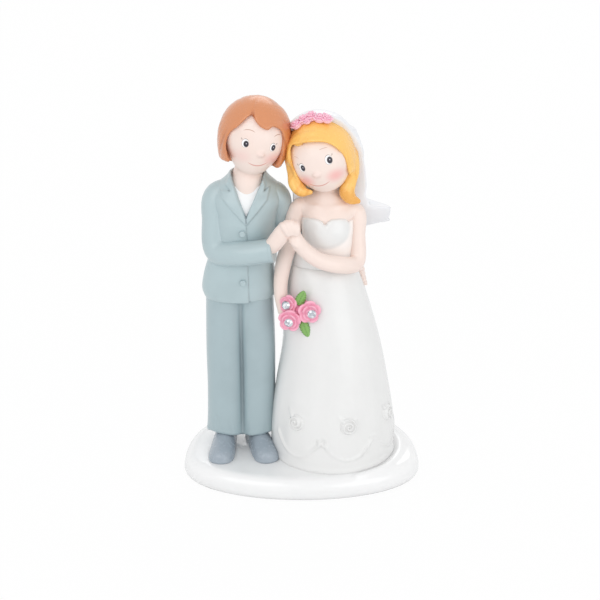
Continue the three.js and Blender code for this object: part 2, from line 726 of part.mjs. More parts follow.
// Bodice: from the waist to a sweetheart top edge round the bust.
const bodiceTop = waistLevel + BODICE_HEIGHT;
const atWaist = vec(waistX, waistY, waistLevel);
function bodiceShell(grow = 0) {
  const [waistW, waistD] = [WAIST_WIDTH / 2, WAIST_DEPTH / 2];
  const [bustW, bustD] = [BUST_WIDTH / 2, BUST_DEPTH / 2];
  const rows = [
    { up: 0.3, y: 0, w: waistW * 0.91, d: waistD },
    { up: 0.55, y: -0.04, w: bustW * 0.97, d: bustD * 0.95, power: 2.1 },
    { up: 0.78, y: -0.06, w: bustW * 1.01, d: bustD, power: 2.2 },
    { up: 1, y: -0.03, w: bustW, d: bustD * 0.89, power: 2.1 },
  ];
  const sections = rows.map(({ up, y, ...row }) => {
    return { x: waistX, y: waistY + y * bustD, z: waistLevel + up * BODICE_HEIGHT, ...row };
  });
  const foot = { x: waistX, y: waistY, z: waistLevel + GLUE_LINE, w: waistW, d: waistD };
  return body([foot, ...sections], { sides: 26, steps: 8, grow });
}
function sweetheartCut() {
  const height = bodiceTop + 0.09 * BODICE_HEIGHT;
  const from = vec(waistX, waistY - BUST_DEPTH, height);
  return peg(from, vec(waistX, waistY, height), 0.13 * BUST_WIDTH);
}

// Chest, shoulders and neck of the bride, set down into the bodice.
const shoulderTop = waistLevel + SHOULDER_HEIGHT;
const shoulderHalf = SHOULDER_WIDTH / 2;
function chest(grow = 0) {
  const neck = BRIDE_NECK_RADIUS;
  const bustW = BUST_WIDTH / 2 - BODICE_WALL - GLUE_LINE;
  const bustD = BUST_DEPTH / 2 - BODICE_WALL - GLUE_LINE;
  const rows = [
    { up: 0.5, x: 0, y: 0, w: 0.91 * bustW, d: 0.84 * bustD },
    { up: 0.72, x: 0, y: 0, w: bustW, d: 0.95 * bustD, power: 2.2 },
    { up: 0.88, x: 0, y: 0, w: 0.83 * shoulderHalf, d: 0.84 * bustD, power: 2.1 },
    { up: 0.98, x: 0, y: 0.06, w: 0.85 * shoulderHalf, d: 0.74 * bustD },
    { up: 1.1, x: -0.06, y: 0.09, w: 1.85 * neck, d: 1.48 * neck },
    { up: 1.2, x: -0.12, y: 0.06, w: 1.09 * neck, d: 1.06 * neck },
  ];
  const sections = rows.map(({ up, x, y, ...row }) => {
    const z = waistLevel + up * SHOULDER_HEIGHT;
    return { x: waistX + x * neck, y: waistY + y * neck, z, ...row };
  });
  const top = shoulderTop + BRIDE_NECK_LENGTH;
  sections.push({ x: waistX - 0.21 * neck, y: waistY, z: top, w: neck, d: neck });
  return body(sections, { grow });
}

// Arms of the bride, each with its hand.
const nearShoulder = (across, forward, down) =>
  vec(
    waistX + across * shoulderHalf,
    waistY - forward * ARM_RADIUS,
    shoulderTop - down * SHOULDER_HEIGHT,
  );
const beforeWaist = vec(0, -WAIST_DEPTH / 2, 0);
function armLeft(grow = 0) {
  const path = [
    nearShoulder(0.87, -0.17, 0.087),
    nearShoulder(1.01, 0.43, 0.49),
    nearShoulder(0.95, 1.74, 0.92),
    nearShoulder(0.42, 1.13, 0.86).add(beforeWaist),
    nearShoulder(-0.37, 2.09, 0.71).add(beforeWaist),
    nearHand(clasp, 0.36, 0.56, -1.36),
    nearHand(clasp, 0, 0.24, 0),
  ];
  const arm = [1, 1, 1.12, 1.16, 1.06].map((share) => share * ARM_RADIUS);
  const radii = [...arm, 1.08 * WRIST_RADIUS, 0.86 * HAND_RADIUS];
  return limb(path, radii, { steps: 16, grow });
}
const bouquet = vec(waistX - BOUQUET_SIDE, 0, waistLevel - BOUQUET_DROP);
bouquet.y = frontAt(skirtSections, bouquet.x + 1.33 * ROSE_RADIUS, bouquet.z) + 0.27 * ROSE_RADIUS;
function armRight(grow = 0) {
  const path = [
    nearShoulder(-0.87, -0.17, 0.087),
    nearShoulder(-1.11, 0.7, 0.52),
    nearShoulder(-1.41, 1.83, 0.935),
    nearShoulder(-1.52, 3.04, 1.435),
    nearHand(bouquet, -1.36, 0.48, -0.96),
  ];
  const arm = [1, 1, 1.02].map((share) => share * ARM_RADIUS);
  return limb(path, [...arm, WRIST_RADIUS, 0.9 * HAND_RADIUS], { steps: 12, grow });
}

// Head of the bride and her hair, with a side-swept fringe.
const brideHeadCentre = vec(
  waistX - 0.22 * BRIDE_HEAD_RADIUS,
  waistY - 0.1 * BRIDE_HEAD_RADIUS,
  shoulderTop + BRIDE_NECK_LENGTH + 1.02 * BRIDE_HEAD_RADIUS,
);
const brideHeadFrame = headFrame(brideHeadCentre, BRIDE_HEAD_ROLL, BRIDE_HEAD_YAW);
// Under the hair the head is flat toward the partner's, which leaves the hair a wall there.
function brideFace(grow = 0) {
  const r = BRIDE_HEAD_RADIUS;
  const toPartner = suitHeadCentre.clone().sub(brideHeadCentre);
  const bobReach = SUIT_HEAD_RADIUS + BOB_THICKNESS + GLUE_LINE;
  const flat = toPartner.length() - bobReach - MEETING_WALL - GLUE_LINE;
  const beyond = block(vec(-2 * r, -2 * r, flat + grow), vec(2 * r, 2 * r, 3 * r));
  const side = placed(beyond, facing(brideHeadCentre, toPartner));
  return headShape(DOLL_HEAD, r, brideHeadFrame, grow).subtract(side);
}
const hairRadius = BRIDE_HEAD_RADIUS + BRIDE_HAIR_THICKNESS;
const BLONDE_CAP = [
  [0.1, -0.72, 0.72, 0.72],
  [0.09, -0.6, 0.9, 0.84],
  [0.05, -0.3, 0.97, 0.95],
  [0.03, 0.05, 1, 1],
  [0.02, 0.44, 0.9, 0.91],
  [0.02, 0.74, 0.68, 0.69],
  [0.02, 0.94, 0.36, 0.38],
  [0.02, 1, 0.1, 0.1],
];
const BLONDE_WINDOW = [
  [-0.42, 0.55],
  [-0.24, 0.65],
  [0.1, 0.64],
  [0.5, 0.52],
  [0.7, 0.26],
  [0.78, -0.14],
  [0.7, -0.58],
  [0.56, -1.4],
  [-0.5, -1.4],
  [-0.66, -0.58],
  [-0.7, -0.15],
  [-0.68, 0.28],
  [-0.62, 0.64],
];
const blondeCap = (grow = 0) => headShape(BLONDE_CAP, hairRadius, brideHeadFrame, grow);
// The two side locks, in shares of the head's radius about its middle: one curls in below the
// chin and the other flicks out over the shoulder.
const LOCKS = [
  {
    path: [
      [-0.95, -0.12, 0.06],
      [-0.91, -0.28, -0.5],
      [-0.75, -0.43, -0.86],
      [-0.52, -0.6, -1.05],
      [-0.24, -0.7, -1.0],
    ],
    radii: [0.14, 0.16, 0.21, 0.19, 0.09],
  },
  {
    path: [
      [1.0, 0.02, 0],
      [1.0, -0.14, -0.52],
      [0.88, -0.22, -1.0],
      [0.96, -0.27, -1.3],
      [1.14, -0.32, -1.4],
    ],
    radii: [0.16, 0.22, 0.26, 0.21, 0.09],
  },
];
function locks(grow = 0) {
  const r = BRIDE_HEAD_RADIUS;
  const [first, second] = LOCKS.map(({ path, radii }) => {
    const points = path.map(([x, y, z]) => vec(x * r, y * r, z * r).add(brideHeadCentre));
    return limb(points, radii.map((radius) => radius * r), { sides: 10, grow });
  });
  return first.add(second);
}
function blondeSolid() {
  const window = faceWindow(BLONDE_WINDOW, BRIDE_HEAD_RADIUS, brideHeadFrame);
  return blondeCap().subtract(window).add(locks()).subtract(brideFace(GLUE_LINE));
}

// Veil: a shell over the crown that falls behind the shoulders and turns out along its hem.
// Each row is a crescent: down is a share of the drop, left and right of the hem's width, and
// the place of its rim and its depth to the back of the head's radius.
const veilTop = brideHeadCentre.z + hairRadius + GLUE_LINE + VEIL_THICKNESS;
const VEIL_ROWS = [
  { down: 1.0, left: 0.26, right: 0.46, rim: 0.57, back: 0.65, wall: 1.2 },
  { down: 0.95, left: 0.27, right: 0.69, rim: 0.65, back: 0.75, wall: 1.8 },
  { down: 0.84, left: 0.27, right: 0.69, rim: 0.67, back: 0.73, wall: 1.8 },
  { down: 0.77, left: 0.27, right: 0.51, rim: 0.55, back: 0.71, wall: 1.2 },
  { down: 0.6, left: 0.28, right: 0.46, rim: 0.48, back: 0.73, wall: 1 },
  { down: 0.38, left: 0.33, right: 0.42, rim: 0.36, back: 0.93, wall: 1 },
  { down: 0.18, left: 0.26, right: 0.33, rim: 0.3, back: 0.87, wall: 1 },
];
function veilRing({ down, left, right, rim, back, wall }) {
  const points = 14;
  const z = veilTop - down * VEIL_DROP;
  const middle = brideHeadCentre.x + ((right - left) / 2) * VEIL_HEM_WIDTH;
  const half = ((right + left) / 2) * VEIL_HEM_WIDTH;
  const thick = wall * VEIL_THICKNESS;
  const front = brideHeadCentre.y + rim * BRIDE_HEAD_RADIUS;
  const depth = back * BRIDE_HEAD_RADIUS;
  const arc = (inset, forward) => {
    const line = [];
    for (let j = 0; j <= points; j++) {
      const angle = Math.PI * (j / points);
      const y = front - forward + (depth - inset) * Math.sin(angle) ** 0.8;
      line.push(vec(middle + (half - inset) * Math.cos(angle), y, z));
    }
    return line;
  };
  return [...arc(0, 0), ...arc(thick, 0.6 * thick).reverse()];
}
function veilSolid() {
  const r = hairRadius;
  const slant = new THREE.Matrix4().makeRotationX(radians(20)).setPosition(0, 0.24 * r, 0);
  const behind = placed(block(vec(-3 * r, 0, -0.1 * r), vec(3 * r, 3 * r, 3 * r)), slant);
  const crown = blondeCap(GLUE_LINE + VEIL_THICKNESS).intersect(placed(behind, brideHeadFrame));
  return crown.add(skin(VEIL_ROWS.map(veilRing), true));
}

// A blossom about the origin that faces +Z: petals in rows round a raised middle.
function blossom(radius, height, petals, sides) {
  const rows = [
    [0.72, 0],
    [1, 0.3],
    [0.92, 0.62],
    [0.6, 0.78],
    [0.5, 0.94],
    [0.2, 1],
  ];
  const rings = rows.map(([out, up], i) => {
    const ring = [];
    for (let j = 0; j < sides; j++) {
      const angle = (2 * Math.PI * j) / sides;
      const reach = radius * out * (1 + 0.08 * Math.cos(petals * angle + i));
      ring.push(vec(reach * Math.cos(angle), reach * Math.sin(angle), height * up));
    }
    return ring;
  });
  return skin(rings);
}

// The band of blossoms over the crown of the hair, joined side by side.
function flowerBand(grow = 0) {
  let band = null;
  for (let i = 0; i < BAND_FLOWERS; i++) {
    const share = (2 * i) / (BAND_FLOWERS - 1) - 1;
    const angle = radians(share * BAND_HALF_ANGLE);
    const out = vec(Math.sin(angle), -0.2, Math.cos(angle)).normalize();
    const size = BAND_FLOWER_RADIUS * (1.15 - 0.25 * Math.abs(share));
    const seat = out.clone().multiplyScalar(hairRadius - 0.26 * BAND_FLOWER_RADIUS - grow);
    const flower = placed(blossom(size + grow, 0.95 * size + 2 * grow, 5, 10), facing(seat, out));
    band = band ? band.add(flower) : flower;
  }
  return placed(band, brideHeadFrame);
}

// Bouquet: three roses and two leaves round a core that the hand holds. Places are in shares of
// a rose's radius about the middle of the bouquet.
const inBouquet = (x, y, z) => vec(x, y, z).multiplyScalar(ROSE_RADIUS).add(bouquet);
const ROSES = {
  lower: { at: inBouquet(-0.52, -0.67, -0.48), out: vec(-0.2, -1, 0).normalize(), size: 1 },
  outer: { at: inBouquet(1.33, -0.79, 0.36), out: vec(0.15, -1, 0.1).normalize(), size: 1 },
  upper: { at: inBouquet(-0.67, -0.18, 0.79), out: vec(-0.4, -0.9, 0.25).normalize(), size: 0.84 },
};
function rose(name, grow = 0) {
  const { at, out, size } = ROSES[name];
  const bloom = blossom(ROSE_RADIUS * size + grow, ROSE_HEIGHT * size + 2 * grow, 4, 16);
  return placed(bloom, facing(at.clone().addScaledVector(out, -grow), out));
}
const bouquetCore = (grow = 0) => {
  const r = ROSE_RADIUS;
  return ellipsoid(inBouquet(0.18, 0.12, 0), 1.52 * r, 0.79 * r, 1.33 * r, grow);
};
function leaf(at, angle) {
  const half = LEAF_WIDTH / 2;
  const outline = new THREE.Shape();
  outline.moveTo(0, 0);
  outline.quadraticCurveTo(half * 1.5, LEAF_LENGTH * 0.35, 0, LEAF_LENGTH);
  outline.quadraticCurveTo(-half * 1.5, LEAF_LENGTH * 0.35, 0, 0);
  const options = { depth: LEAF_THICKNESS, bevelEnabled: false, curveSegments: 6 };
  const geometry = new THREE.ExtrudeGeometry(outline, options).rotateX(Math.PI / 2);
  geometry.rotateY(radians(angle));
  return toSolid(geometry.translate(at.x, at.y, at.z));
}
const LEAVES = {
  upper: leaf(inBouquet(0.12, -0.36, 0.67), 22),
  lower: leaf(inBouquet(0.42, -0.48, -0.79), 160),
};

// A flat-backed stone with a table and eight crown facets, seated in the middle of a rose.
function stone(name, grow = 0) {
  const { at, out, size } = ROSES[name];
  const r = STONE_DIAMETER / 2 + grow;
  const top = STONE_HEIGHT + grow;
  const outline = [
    [0, -grow],
    [r, -grow],
    [r, STONE_HEIGHT * 0.3],
    [r * 0.6, top],
    [0, top],
  ];
  const profile = outline.map(([x, y]) => new THREE.Vector2(x, y));
  const solid = toSolid(new THREE.LatheGeometry(profile, 8).rotateX(Math.PI / 2));
  const seat = ROSE_HEIGHT * size - STONE_HEIGHT / 2;
  return placed(solid, facing(at.clone().addScaledVector(out, seat), out));
}

// One raised rose on the slope of the skirt.
function skirtRose(i) {
  const angle = radians(SKIRT_ROSE_START + SKIRT_ROSE_SPACING * i);
  const level = floor + SKIRT_ROSE_HEIGHT;
  const { x, y, w, d } = sectionAt(skirtSections, level);
  const across = (w - SKIRT_ROSE_RELIEF) * Math.sin(angle);
  const forward = (d - SKIRT_ROSE_RELIEF) * Math.cos(angle);
  const out = vec(Math.sin(angle), -Math.cos(angle), 0.1);
  const bloom = blossom(SKIRT_ROSE_RADIUS, 2 * SKIRT_ROSE_RELIEF, 5, 15);
  return placed(bloom, facing(vec(x + across, y - forward, level), out));
}

// The space round each piece that others are cut to clear.
const clear = {
  trousers: trousers(GLUE_LINE),
  jacket: jacketShell(GLUE_LINE),
  collar: collar(GLUE_LINE),
  lapels: lapels(LAPEL_RELIEF + GLUE_LINE),
  neck: suitNeck(GLUE_LINE),
  bob: bobShell(GLUE_LINE),
  sleeveRight: sleeveRight(GLUE_LINE),
  sleeveLeft: sleeveLeft(GLUE_LINE),
  skirt: skirt(GLUE_LINE),
  bodice: bodiceShell(GLUE_LINE),
  chest: chest(GLUE_LINE),
  face: brideFace(GLUE_LINE),
  hair: blondeCap(GLUE_LINE).add(locks(GLUE_LINE)),
  armLeft: armLeft(GLUE_LINE),
  armRight: armRight(GLUE_LINE),
  core: bouquetCore(GLUE_LINE),
};
const coat = [clear.jacket, clear.collar, clear.lapels];
const torso = [clear.chest, clear.bodice, clear.skirt];
const brideArms = [clear.armLeft, clear.armRight];

// Base and feet
const skirtSeat = vec(BRIDE_X, BRIDE_Y, floor);
const sockets = Object.values(FEET).map(({ ankle }) => socket(ankle));
addPiece("base", "whiteGloss", baseSolid(), [...sockets, socket(skirtSeat, 2 * SPIGOT_RADIUS)]);
for (const side of Object.keys(FEET)) {
  const solid = shoe(side).add(spigot(FEET[side].ankle));
  addPiece(`suit_shoe_${side}`, "shoe", solid, [clear.skirt]);
}

// Gown and body of the bride
const gownSkirt = skirt().add(spigot(skirtSeat, 2 * SPIGOT_RADIUS));
addPiece("gown_skirt", "gown", gownSkirt, [socket(atWaist)]);
const gownBodice = bodiceShell().add(spigot(atWaist));
addPiece("gown_bodice", "gown", gownBodice, [clear.chest, sweetheartCut()]);
addPiece("bride_chest", "skin", chest(), [clear.face]);
addPiece("bride_head", "skin", brideFace());
addPiece("bride_arm_left", "skin", armLeft(), torso);
const besideArm = [clear.jacket, clear.trousers, clear.armLeft];
addPiece("bride_arm_right", "skin", armRight(), [...torso, ...besideArm]);

// Suited figure
const feet = Object.keys(FEET).map((side) => shoe(side, GLUE_LINE));
addPiece("suit_trousers", "suit", trousers(), [...feet, clear.skirt]);
const inJacket = [clear.trousers, clear.neck, socket(neckSpigotPlace)];
addPiece("suit_jacket", "suit", jacketSolid(), [...inJacket, clear.chest, clear.skirt]);
addPiece("suit_shirt", "whiteGloss", shirtSolid(), [clear.neck]);
addPiece("suit_head", "skin", suitFace().add(suitNeck()).add(spigot(neckSpigotPlace)));
addPiece("suit_hair", "bob", bobSolid(), [clear.neck, clear.face, clear.collar]);
for (const [place, height] of Object.entries(buttonHeights)) {
  addPiece(`jacket_button_${place}`, "suit", button(height), [...coat, clear.sleeveRight]);
}

// Arms of the suited figure, which meet the bride's
addPiece("suit_sleeve_right", "suit", sleeveRight(), [...coat, ...brideArms]);
const besideHand = [clear.sleeveRight, clear.jacket, clear.chest, clear.bodice];
addPiece("suit_hand_right", "skin", suitHandRight(), [...besideHand, ...brideArms]);
addPiece("suit_sleeve_left", "suit", sleeveLeft(), [...coat, ...torso, ...brideArms]);
addPiece("suit_hand_left", "skin", suitHandLeft(), [clear.sleeveLeft, ...torso, ...brideArms]);

// Hair, veil and blossoms of the bride
const besideHair = [clear.bob, clear.chest, clear.sleeveLeft, ...coat];
addPiece("bride_hair", "blonde", blondeSolid(), besideHair);
const underVeil = [clear.hair, clear.chest, clear.bodice, flowerBand(GLUE_LINE), ...brideArms];
addPiece("veil", "veil", veilSolid(), [...underVeil, ...coat, clear.bob, clear.sleeveLeft]);
addPiece("flower_band", "paleRose", flowerBand(), [clear.hair, clear.bob]);

// Bouquet
const held = [clear.skirt, clear.armRight];
addPiece("bouquet_core", "rose", bouquetCore(), held);
held.push(clear.core);
for (const name of Object.keys(ROSES)) {
  addPiece(`bouquet_rose_${name}`, "rose", rose(name), [stone(name, GLUE_LINE), ...held]);
  addPiece(`rhinestone_${name}`, "stone", stone(name));
  held.push(rose(name, GLUE_LINE));
}
for (const [place, solid] of Object.entries(LEAVES)) {
  addPiece(`bouquet_leaf_${place}`, "leaf", solid, held);
}

// Roses round the skirt
for (let i = 0; i < SKIRT_ROSES; i++) {
  addPiece(`skirt_rose_${i + 1}`, "gown", skirtRose(i), [clear.skirt, clear.trousers]);
}

export default group;
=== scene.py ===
import math

import bmesh
import bpy
import numpy as np
from bpy.props import FloatProperty, FloatVectorProperty, IntProperty, PointerProperty
from mathutils import Matrix, Vector


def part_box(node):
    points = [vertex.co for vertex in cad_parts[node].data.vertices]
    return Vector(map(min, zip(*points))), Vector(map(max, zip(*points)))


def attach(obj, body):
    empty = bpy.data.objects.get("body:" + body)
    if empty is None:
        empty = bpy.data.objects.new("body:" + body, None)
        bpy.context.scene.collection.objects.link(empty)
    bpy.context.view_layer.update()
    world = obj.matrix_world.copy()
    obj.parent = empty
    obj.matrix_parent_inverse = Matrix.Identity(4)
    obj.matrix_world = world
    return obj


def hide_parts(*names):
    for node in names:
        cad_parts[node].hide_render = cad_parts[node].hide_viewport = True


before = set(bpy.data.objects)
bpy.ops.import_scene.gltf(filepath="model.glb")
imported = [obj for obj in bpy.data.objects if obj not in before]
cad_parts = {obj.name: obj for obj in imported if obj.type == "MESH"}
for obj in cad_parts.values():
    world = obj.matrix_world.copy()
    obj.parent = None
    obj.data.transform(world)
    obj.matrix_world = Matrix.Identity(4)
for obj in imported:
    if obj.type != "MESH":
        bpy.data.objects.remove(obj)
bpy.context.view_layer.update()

bl_info = {
    "name": "Wedding Couple Figurine",
    "version": (1, 0, 0),
    "blender": (4, 5, 0),
    "location": "View3D > Sidebar > Figurine",
    "description": "Painted resin couple on an oval base, modelled over its solid parts",
    "category": "Object",
}

MM = 0.001


# Sizes and colours

def tone(red, green, blue):
    """A paint colour, from 0 to 255 as a swatch is written, as the values that light works on."""
    shares = [value / 255 for value in (red, green, blue)]
    return tuple(s / 12.92 if s <= 0.04045 else ((s + 0.055) / 1.055) ** 2.4 for s in shares)


def length(label, size, help_text):
    """A property for a size, which is given here in millimetres."""
    return FloatProperty(name=label, description=help_text, default=size * MM, min=0,
                         precision=5, unit="LENGTH", subtype="DISTANCE")


def swatch(label, colour, help_text):
    """A property for a colour, which is given here from 0 to 255."""
    return FloatVectorProperty(name=label, description=help_text, default=tone(*colour), min=0,
                               max=1, size=3, subtype="COLOR")


class FigurineSizes(bpy.types.PropertyGroup):
    """Sizes of the sculpted detail"""
    grain: length("Modelling step", 0.3, "Edge of one face of the sculpted skin")
    lapel_relief: length("Lapel relief", 0.5, "How far the lapels stand off the jacket")
    seam_depth: length("Front edge", 0.3, "Step where the jacket's front laps over")
    strand_depth: length("Strand depth", 0.1, "Depth of the grooves between strands of hair")
    swag_radius: length("Swag radius", 0.34, "Radius of the raised line of each swag")
    swag_drop: length("Swag drop", 5.8, "How far each swag hangs between its two bows")
    skirt_rose: length("Skirt rose", 3.0, "Radius of a white rose on the skirt")
    crown_rose: length("Crown blossom", 2.0, "Radius of a blossom in the headdress")
    stone: length("Stone", 1.35, "Radius of a clear stone in the bouquet")
    stone_sides: IntProperty(name="Stone facets", description="Sides of a stone's table",
                             default=8, min=5, max=12)


class FigurineColours(bpy.types.PropertyGroup):
    """Paints of the figurine"""
    suit: swatch("Suit", (178, 196, 200), "Blue grey of the jacket")
    trousers: swatch("Trousers", (168, 186, 191), "Blue grey of the trousers")
    # Painted shade: this grey darkens the creases of the suit, trousers and shoes.
    suit_painted_shade: swatch("Suit hollows", (128, 142, 148), "Grey that gathers in the suit's creases")
    shoe: swatch("Shoes", (160, 171, 181), "Slate grey of the shoes")
    shirt: swatch("Shirt", (246, 247, 248), "White of the shirt")
    skin: swatch("Skin", (244, 226, 217), "Fair flesh tone")
    # Painted shade: this warm tone darkens the creases of the skin.
    skin_painted_shade: swatch("Skin hollows", (236, 188, 170), "Warm tone in the creases of the skin")
    blush: swatch("Blush", (244, 158, 156), "Soft pink sprayed on the cheeks")
    lips: swatch("Smile", (214, 132, 118), "Fine line of the smile")
    brow: swatch("Brows", (176, 128, 104), "Fine brown line of the brows")
    iris: swatch("Eyes", (34, 30, 42), "Dark paint of the eyes")
    brown: swatch("Brown hair", (215, 141, 95), "Reddish brown bob")
    # Painted shade: this brown darkens the grooves between the strands.
    brown_painted_shade: swatch("Brown hollows", (176, 100, 60), "Darker brown between the strands")
    blonde: swatch("Blonde hair", (253, 200, 108), "Golden hair")
    # Painted shade: this amber darkens the grooves between the strands.
    blonde_painted_shade: swatch("Blonde hollows", (226, 146, 48), "Amber between the strands")
    gown: swatch("Gown", (232, 232, 231), "White of the gown")
    # Painted shade: this grey darkens the folds and hollows of the white pieces.
    gown_painted_shade: swatch("Gown hollows", (205, 204, 202), "Grey in the folds of the gown")
    # Partly the gown's own warm tint and partly painted light: skin tone reflected onto the waist,
    # and a lighter white that offsets the shade under the bust.
    waist: swatch("Waist", (252, 246, 242), "Warm white below the cups of the bodice")
    veil: swatch("Veil", (239, 240, 243), "Soft white of the veil")
    base: swatch("Base", (242, 242, 242), "Glossy white of the base")
    rose: swatch("Roses", (250, 180, 202), "Pink of the bouquet")
    # Painted shade: this deep pink darkens the hollows between the petals.
    rose_painted_shade: swatch("Rose hollows", (226, 108, 152), "Deep pink between the petals")
    crown: swatch("Headdress", (255, 208, 224), "Pink of the headdress")
    leaf: swatch("Leaves", (134, 184, 98), "Green of the leaves")
    # Painted shade: this dark green darkens the grooves of the veins.
    leaf_painted_shade: swatch("Leaf veins", (70, 122, 52), "Dark green in the veins")


def sizes():
    """The sizes that the panel shows."""
    return bpy.context.scene.figurine_sizes


def colours():
    """The colours that the panel shows."""
    return bpy.context.scene.figurine_colours


# Forms, in millimetres

def blend(first, second, soft):
    """Two forms run together with a fillet of about that size."""
    share = np.clip(0.5 + 0.5 * (second - first) / soft, 0, 1)
    return second + (first - second) * share - soft * share * (1 - share)


def carve(first, second, soft):
    """The second form cut out of the first, with its edge softened."""
    return -blend(-first, second, soft)


def keep(first, second, soft):
    """What both forms share, with its edge softened."""
    return -blend(-first, -second, soft)


def rise(values, low, high):
    """0 below low, 1 above high and an even S between them."""
    share = np.clip((values - low) / (high - low), 0, 1)
    return share * share * (3 - 2 * share)


def eased(places, knots, values):
    """A smooth line through the values at the knots, read at the places."""
    knots = np.asarray(knots, float)
    values = np.asarray(values, float)
    slopes = np.gradient(values, knots, axis=0)
    left = np.clip(np.searchsorted(knots, places) - 1, 0, len(knots) - 2)
    span = knots[left + 1] - knots[left]
    t = (places - knots[left]) / span
    if values.ndim > 1:
        t = t[:, None]
        span = span[:, None]
    return ((2 * t ** 3 - 3 * t ** 2 + 1) * values[left]
            + (t ** 3 - 2 * t ** 2 + t) * span * slopes[left]
            + (3 * t ** 2 - 2 * t ** 3) * values[left + 1]
            + (t ** 3 - t ** 2) * span * slopes[left + 1])


def stack(rows, power=2.0):
    """A form stacked from level ovals: x, y, z, half width, half depth and the oval's power."""
    table = np.array([tuple(row) + (power,) * (6 - len(row)) for row in rows], float)
    knots = table[:, 2]
    heights = np.linspace(knots[0], knots[-1], 600)
    middle_x, middle_y, powers = (eased(heights, knots, table[:, i]) for i in (0, 1, 5))
    squares = eased(heights, knots, table[:, 3] ** 2)
    ratios = eased(heights, knots, table[:, 3] / table[:, 4])
    slopes = np.gradient(squares, heights)

    def form(p):
        level = np.clip(p[:, 2], heights[0], heights[-1])
        slope = np.interp(level, heights, slopes)
        square = np.interp(level, heights, squares) + slope * (p[:, 2] - level)
        ratio = np.interp(level, heights, ratios)
        bend = np.interp(level, heights, powers)
        across = np.abs(p[:, 0] - np.interp(level, heights, middle_x)) + 1e-6
        along = np.abs(p[:, 1] - np.interp(level, heights, middle_y)) * ratio + 1e-6
        reach = (across ** bend + along ** bend) ** (1 / bend)
        steep = ((across / reach) ** (2 * bend - 2)
                 + ratio ** 2 * (along / reach) ** (2 * bend - 2))
        return (reach ** 2 - square) / np.sqrt(4 * reach ** 2 * steep + slope ** 2 + 1e-6)
    return form


def between(low, high):
    """The slab between two levels, to trim a stack with keep()."""
    return lambda p: np.maximum(low - p[:, 2], p[:, 2] - high)


def sweep(path, radii, steps=6):
    """A smooth path through the points, with its radius at each step."""
    path = np.asarray(path, float)
    radii = np.asarray(radii, float)
    knots = np.concatenate([[0], np.cumsum(np.linalg.norm(np.diff(path, axis=0), axis=1))])
    places = np.interp(np.linspace(0, len(path) - 1, (len(path) - 1) * steps + 1),
                       np.arange(len(path)), knots)
    return eased(places, knots, path), np.maximum(eased(places, knots, radii), 0.02)


def limb(path, radii, steps=6):
    """A rounded form along a smooth path."""
    points, sizes = sweep(path, radii, steps)

    def form(p):
        best = np.full(len(p), 1e3)
        for start, end, first, last in zip(points[:-1], points[1:], sizes[:-1], sizes[1:]):
            run = end - start
            share = np.clip((p - start) @ run / max(run @ run, 1e-9), 0, 1)
            gap = np.linalg.norm(p - start - share[:, None] * run, axis=1)
            np.minimum(best, gap - first - (last - first) * share, out=best)
        return best
    return form


def ball(centre, radii, turn=None):
    """An ellipsoid, turned by a 3x3 matrix if one is given."""
    centre = np.asarray(centre, float)
    radii = np.asarray(radii, float)

    def form(p):
        q = p - centre
        if turn is not None:
            q = q @ np.array(turn)
        reach = np.linalg.norm(q / radii, axis=1) + 1e-6
        return reach * (reach - 1) / (np.linalg.norm(q / radii ** 2, axis=1) + 1e-6)
    return form


def seen_from(own_frame, p):
    """Points of the world in the coordinates of a piece's own frame."""
    return (p - np.array(own_frame.translation)) @ np.array(own_frame.to_3x3())


def within(own_frame, form):
    """A form described in its own frame, placed by that frame."""
    return lambda p: form(seen_from(own_frame, p))


def rounded(corners, passes=2):
    """An outline with its corners cut down to a smooth line."""
    line = np.asarray(corners, float)
    for _ in range(passes):
        after = np.roll(line, -1, axis=0)
        line = np.stack([0.75 * line + 0.25 * after, 0.25 * line + 0.75 * after], 1)
        line = line.reshape(-1, 2)
    return line


def outline(corners, across, up):
    """Distance to a closed outline on a plane, below 0 inside it."""
    best = np.full(len(across), 1e6)
    inside = np.zeros(len(across), bool)
    for (ax, az), (bx, bz) in zip(corners, np.roll(corners, -1, axis=0)):
        run_x, run_z = bx - ax, bz - az
        px, pz = across - ax, up - az
        share = np.clip((px * run_x + pz * run_z) / max(run_x ** 2 + run_z ** 2, 1e-9), 0, 1)
        np.minimum(best, (px - share * run_x) ** 2 + (pz - share * run_z) ** 2, out=best)
        if abs(run_z) > 1e-9:
            crosses = (az > up) != (bz > up)
            inside ^= crosses & (px < run_x * pz / run_z)
    gap = np.sqrt(best)
    return np.where(inside, -gap, gap)


# Skin over a form

CORNERS = np.array([(i, j, k) for i in (0, 1) for j in (0, 1) for k in (0, 1)])
BLOCK = 8              # cells along the edge of a block
NEAR = 1.3             # how many blocks from the surface a block is still worked out
BATCH = 600            # blocks worked out at a time
HOLLOW_REACH = 1.0     # how far above the skin its hollows are felt, in millimetres


def sampled(form, low, counts, step):
    """The form on a grid, worked out only in the blocks that its surface may pass."""
    blocks = -(-np.asarray(counts) // BLOCK)
    grid = np.empty(blocks * BLOCK)
    corner = np.stack(np.meshgrid(*[np.arange(n) for n in blocks], indexing="ij"), -1)
    corner = corner.reshape(-1, 3)
    middle = form(low + (corner * BLOCK + (BLOCK - 1) / 2) * step)
    cells = np.stack(np.meshgrid(*[np.arange(BLOCK)] * 3, indexing="ij"), -1).reshape(-1, 3)
    fill = grid.reshape(blocks[0], BLOCK, blocks[1], BLOCK, blocks[2], BLOCK)
    fill[:] = middle.reshape(blocks[0], 1, blocks[1], 1, blocks[2], 1)
    near = corner[np.abs(middle) < BLOCK * step * NEAR]
    for batch in np.array_split(near, max(1, len(near) // BATCH)):
        at = (batch[:, None, :] * BLOCK + cells).reshape(-1, 3)
        grid[at[:, 0], at[:, 1], at[:, 2]] = form(low + at * step)
    return grid


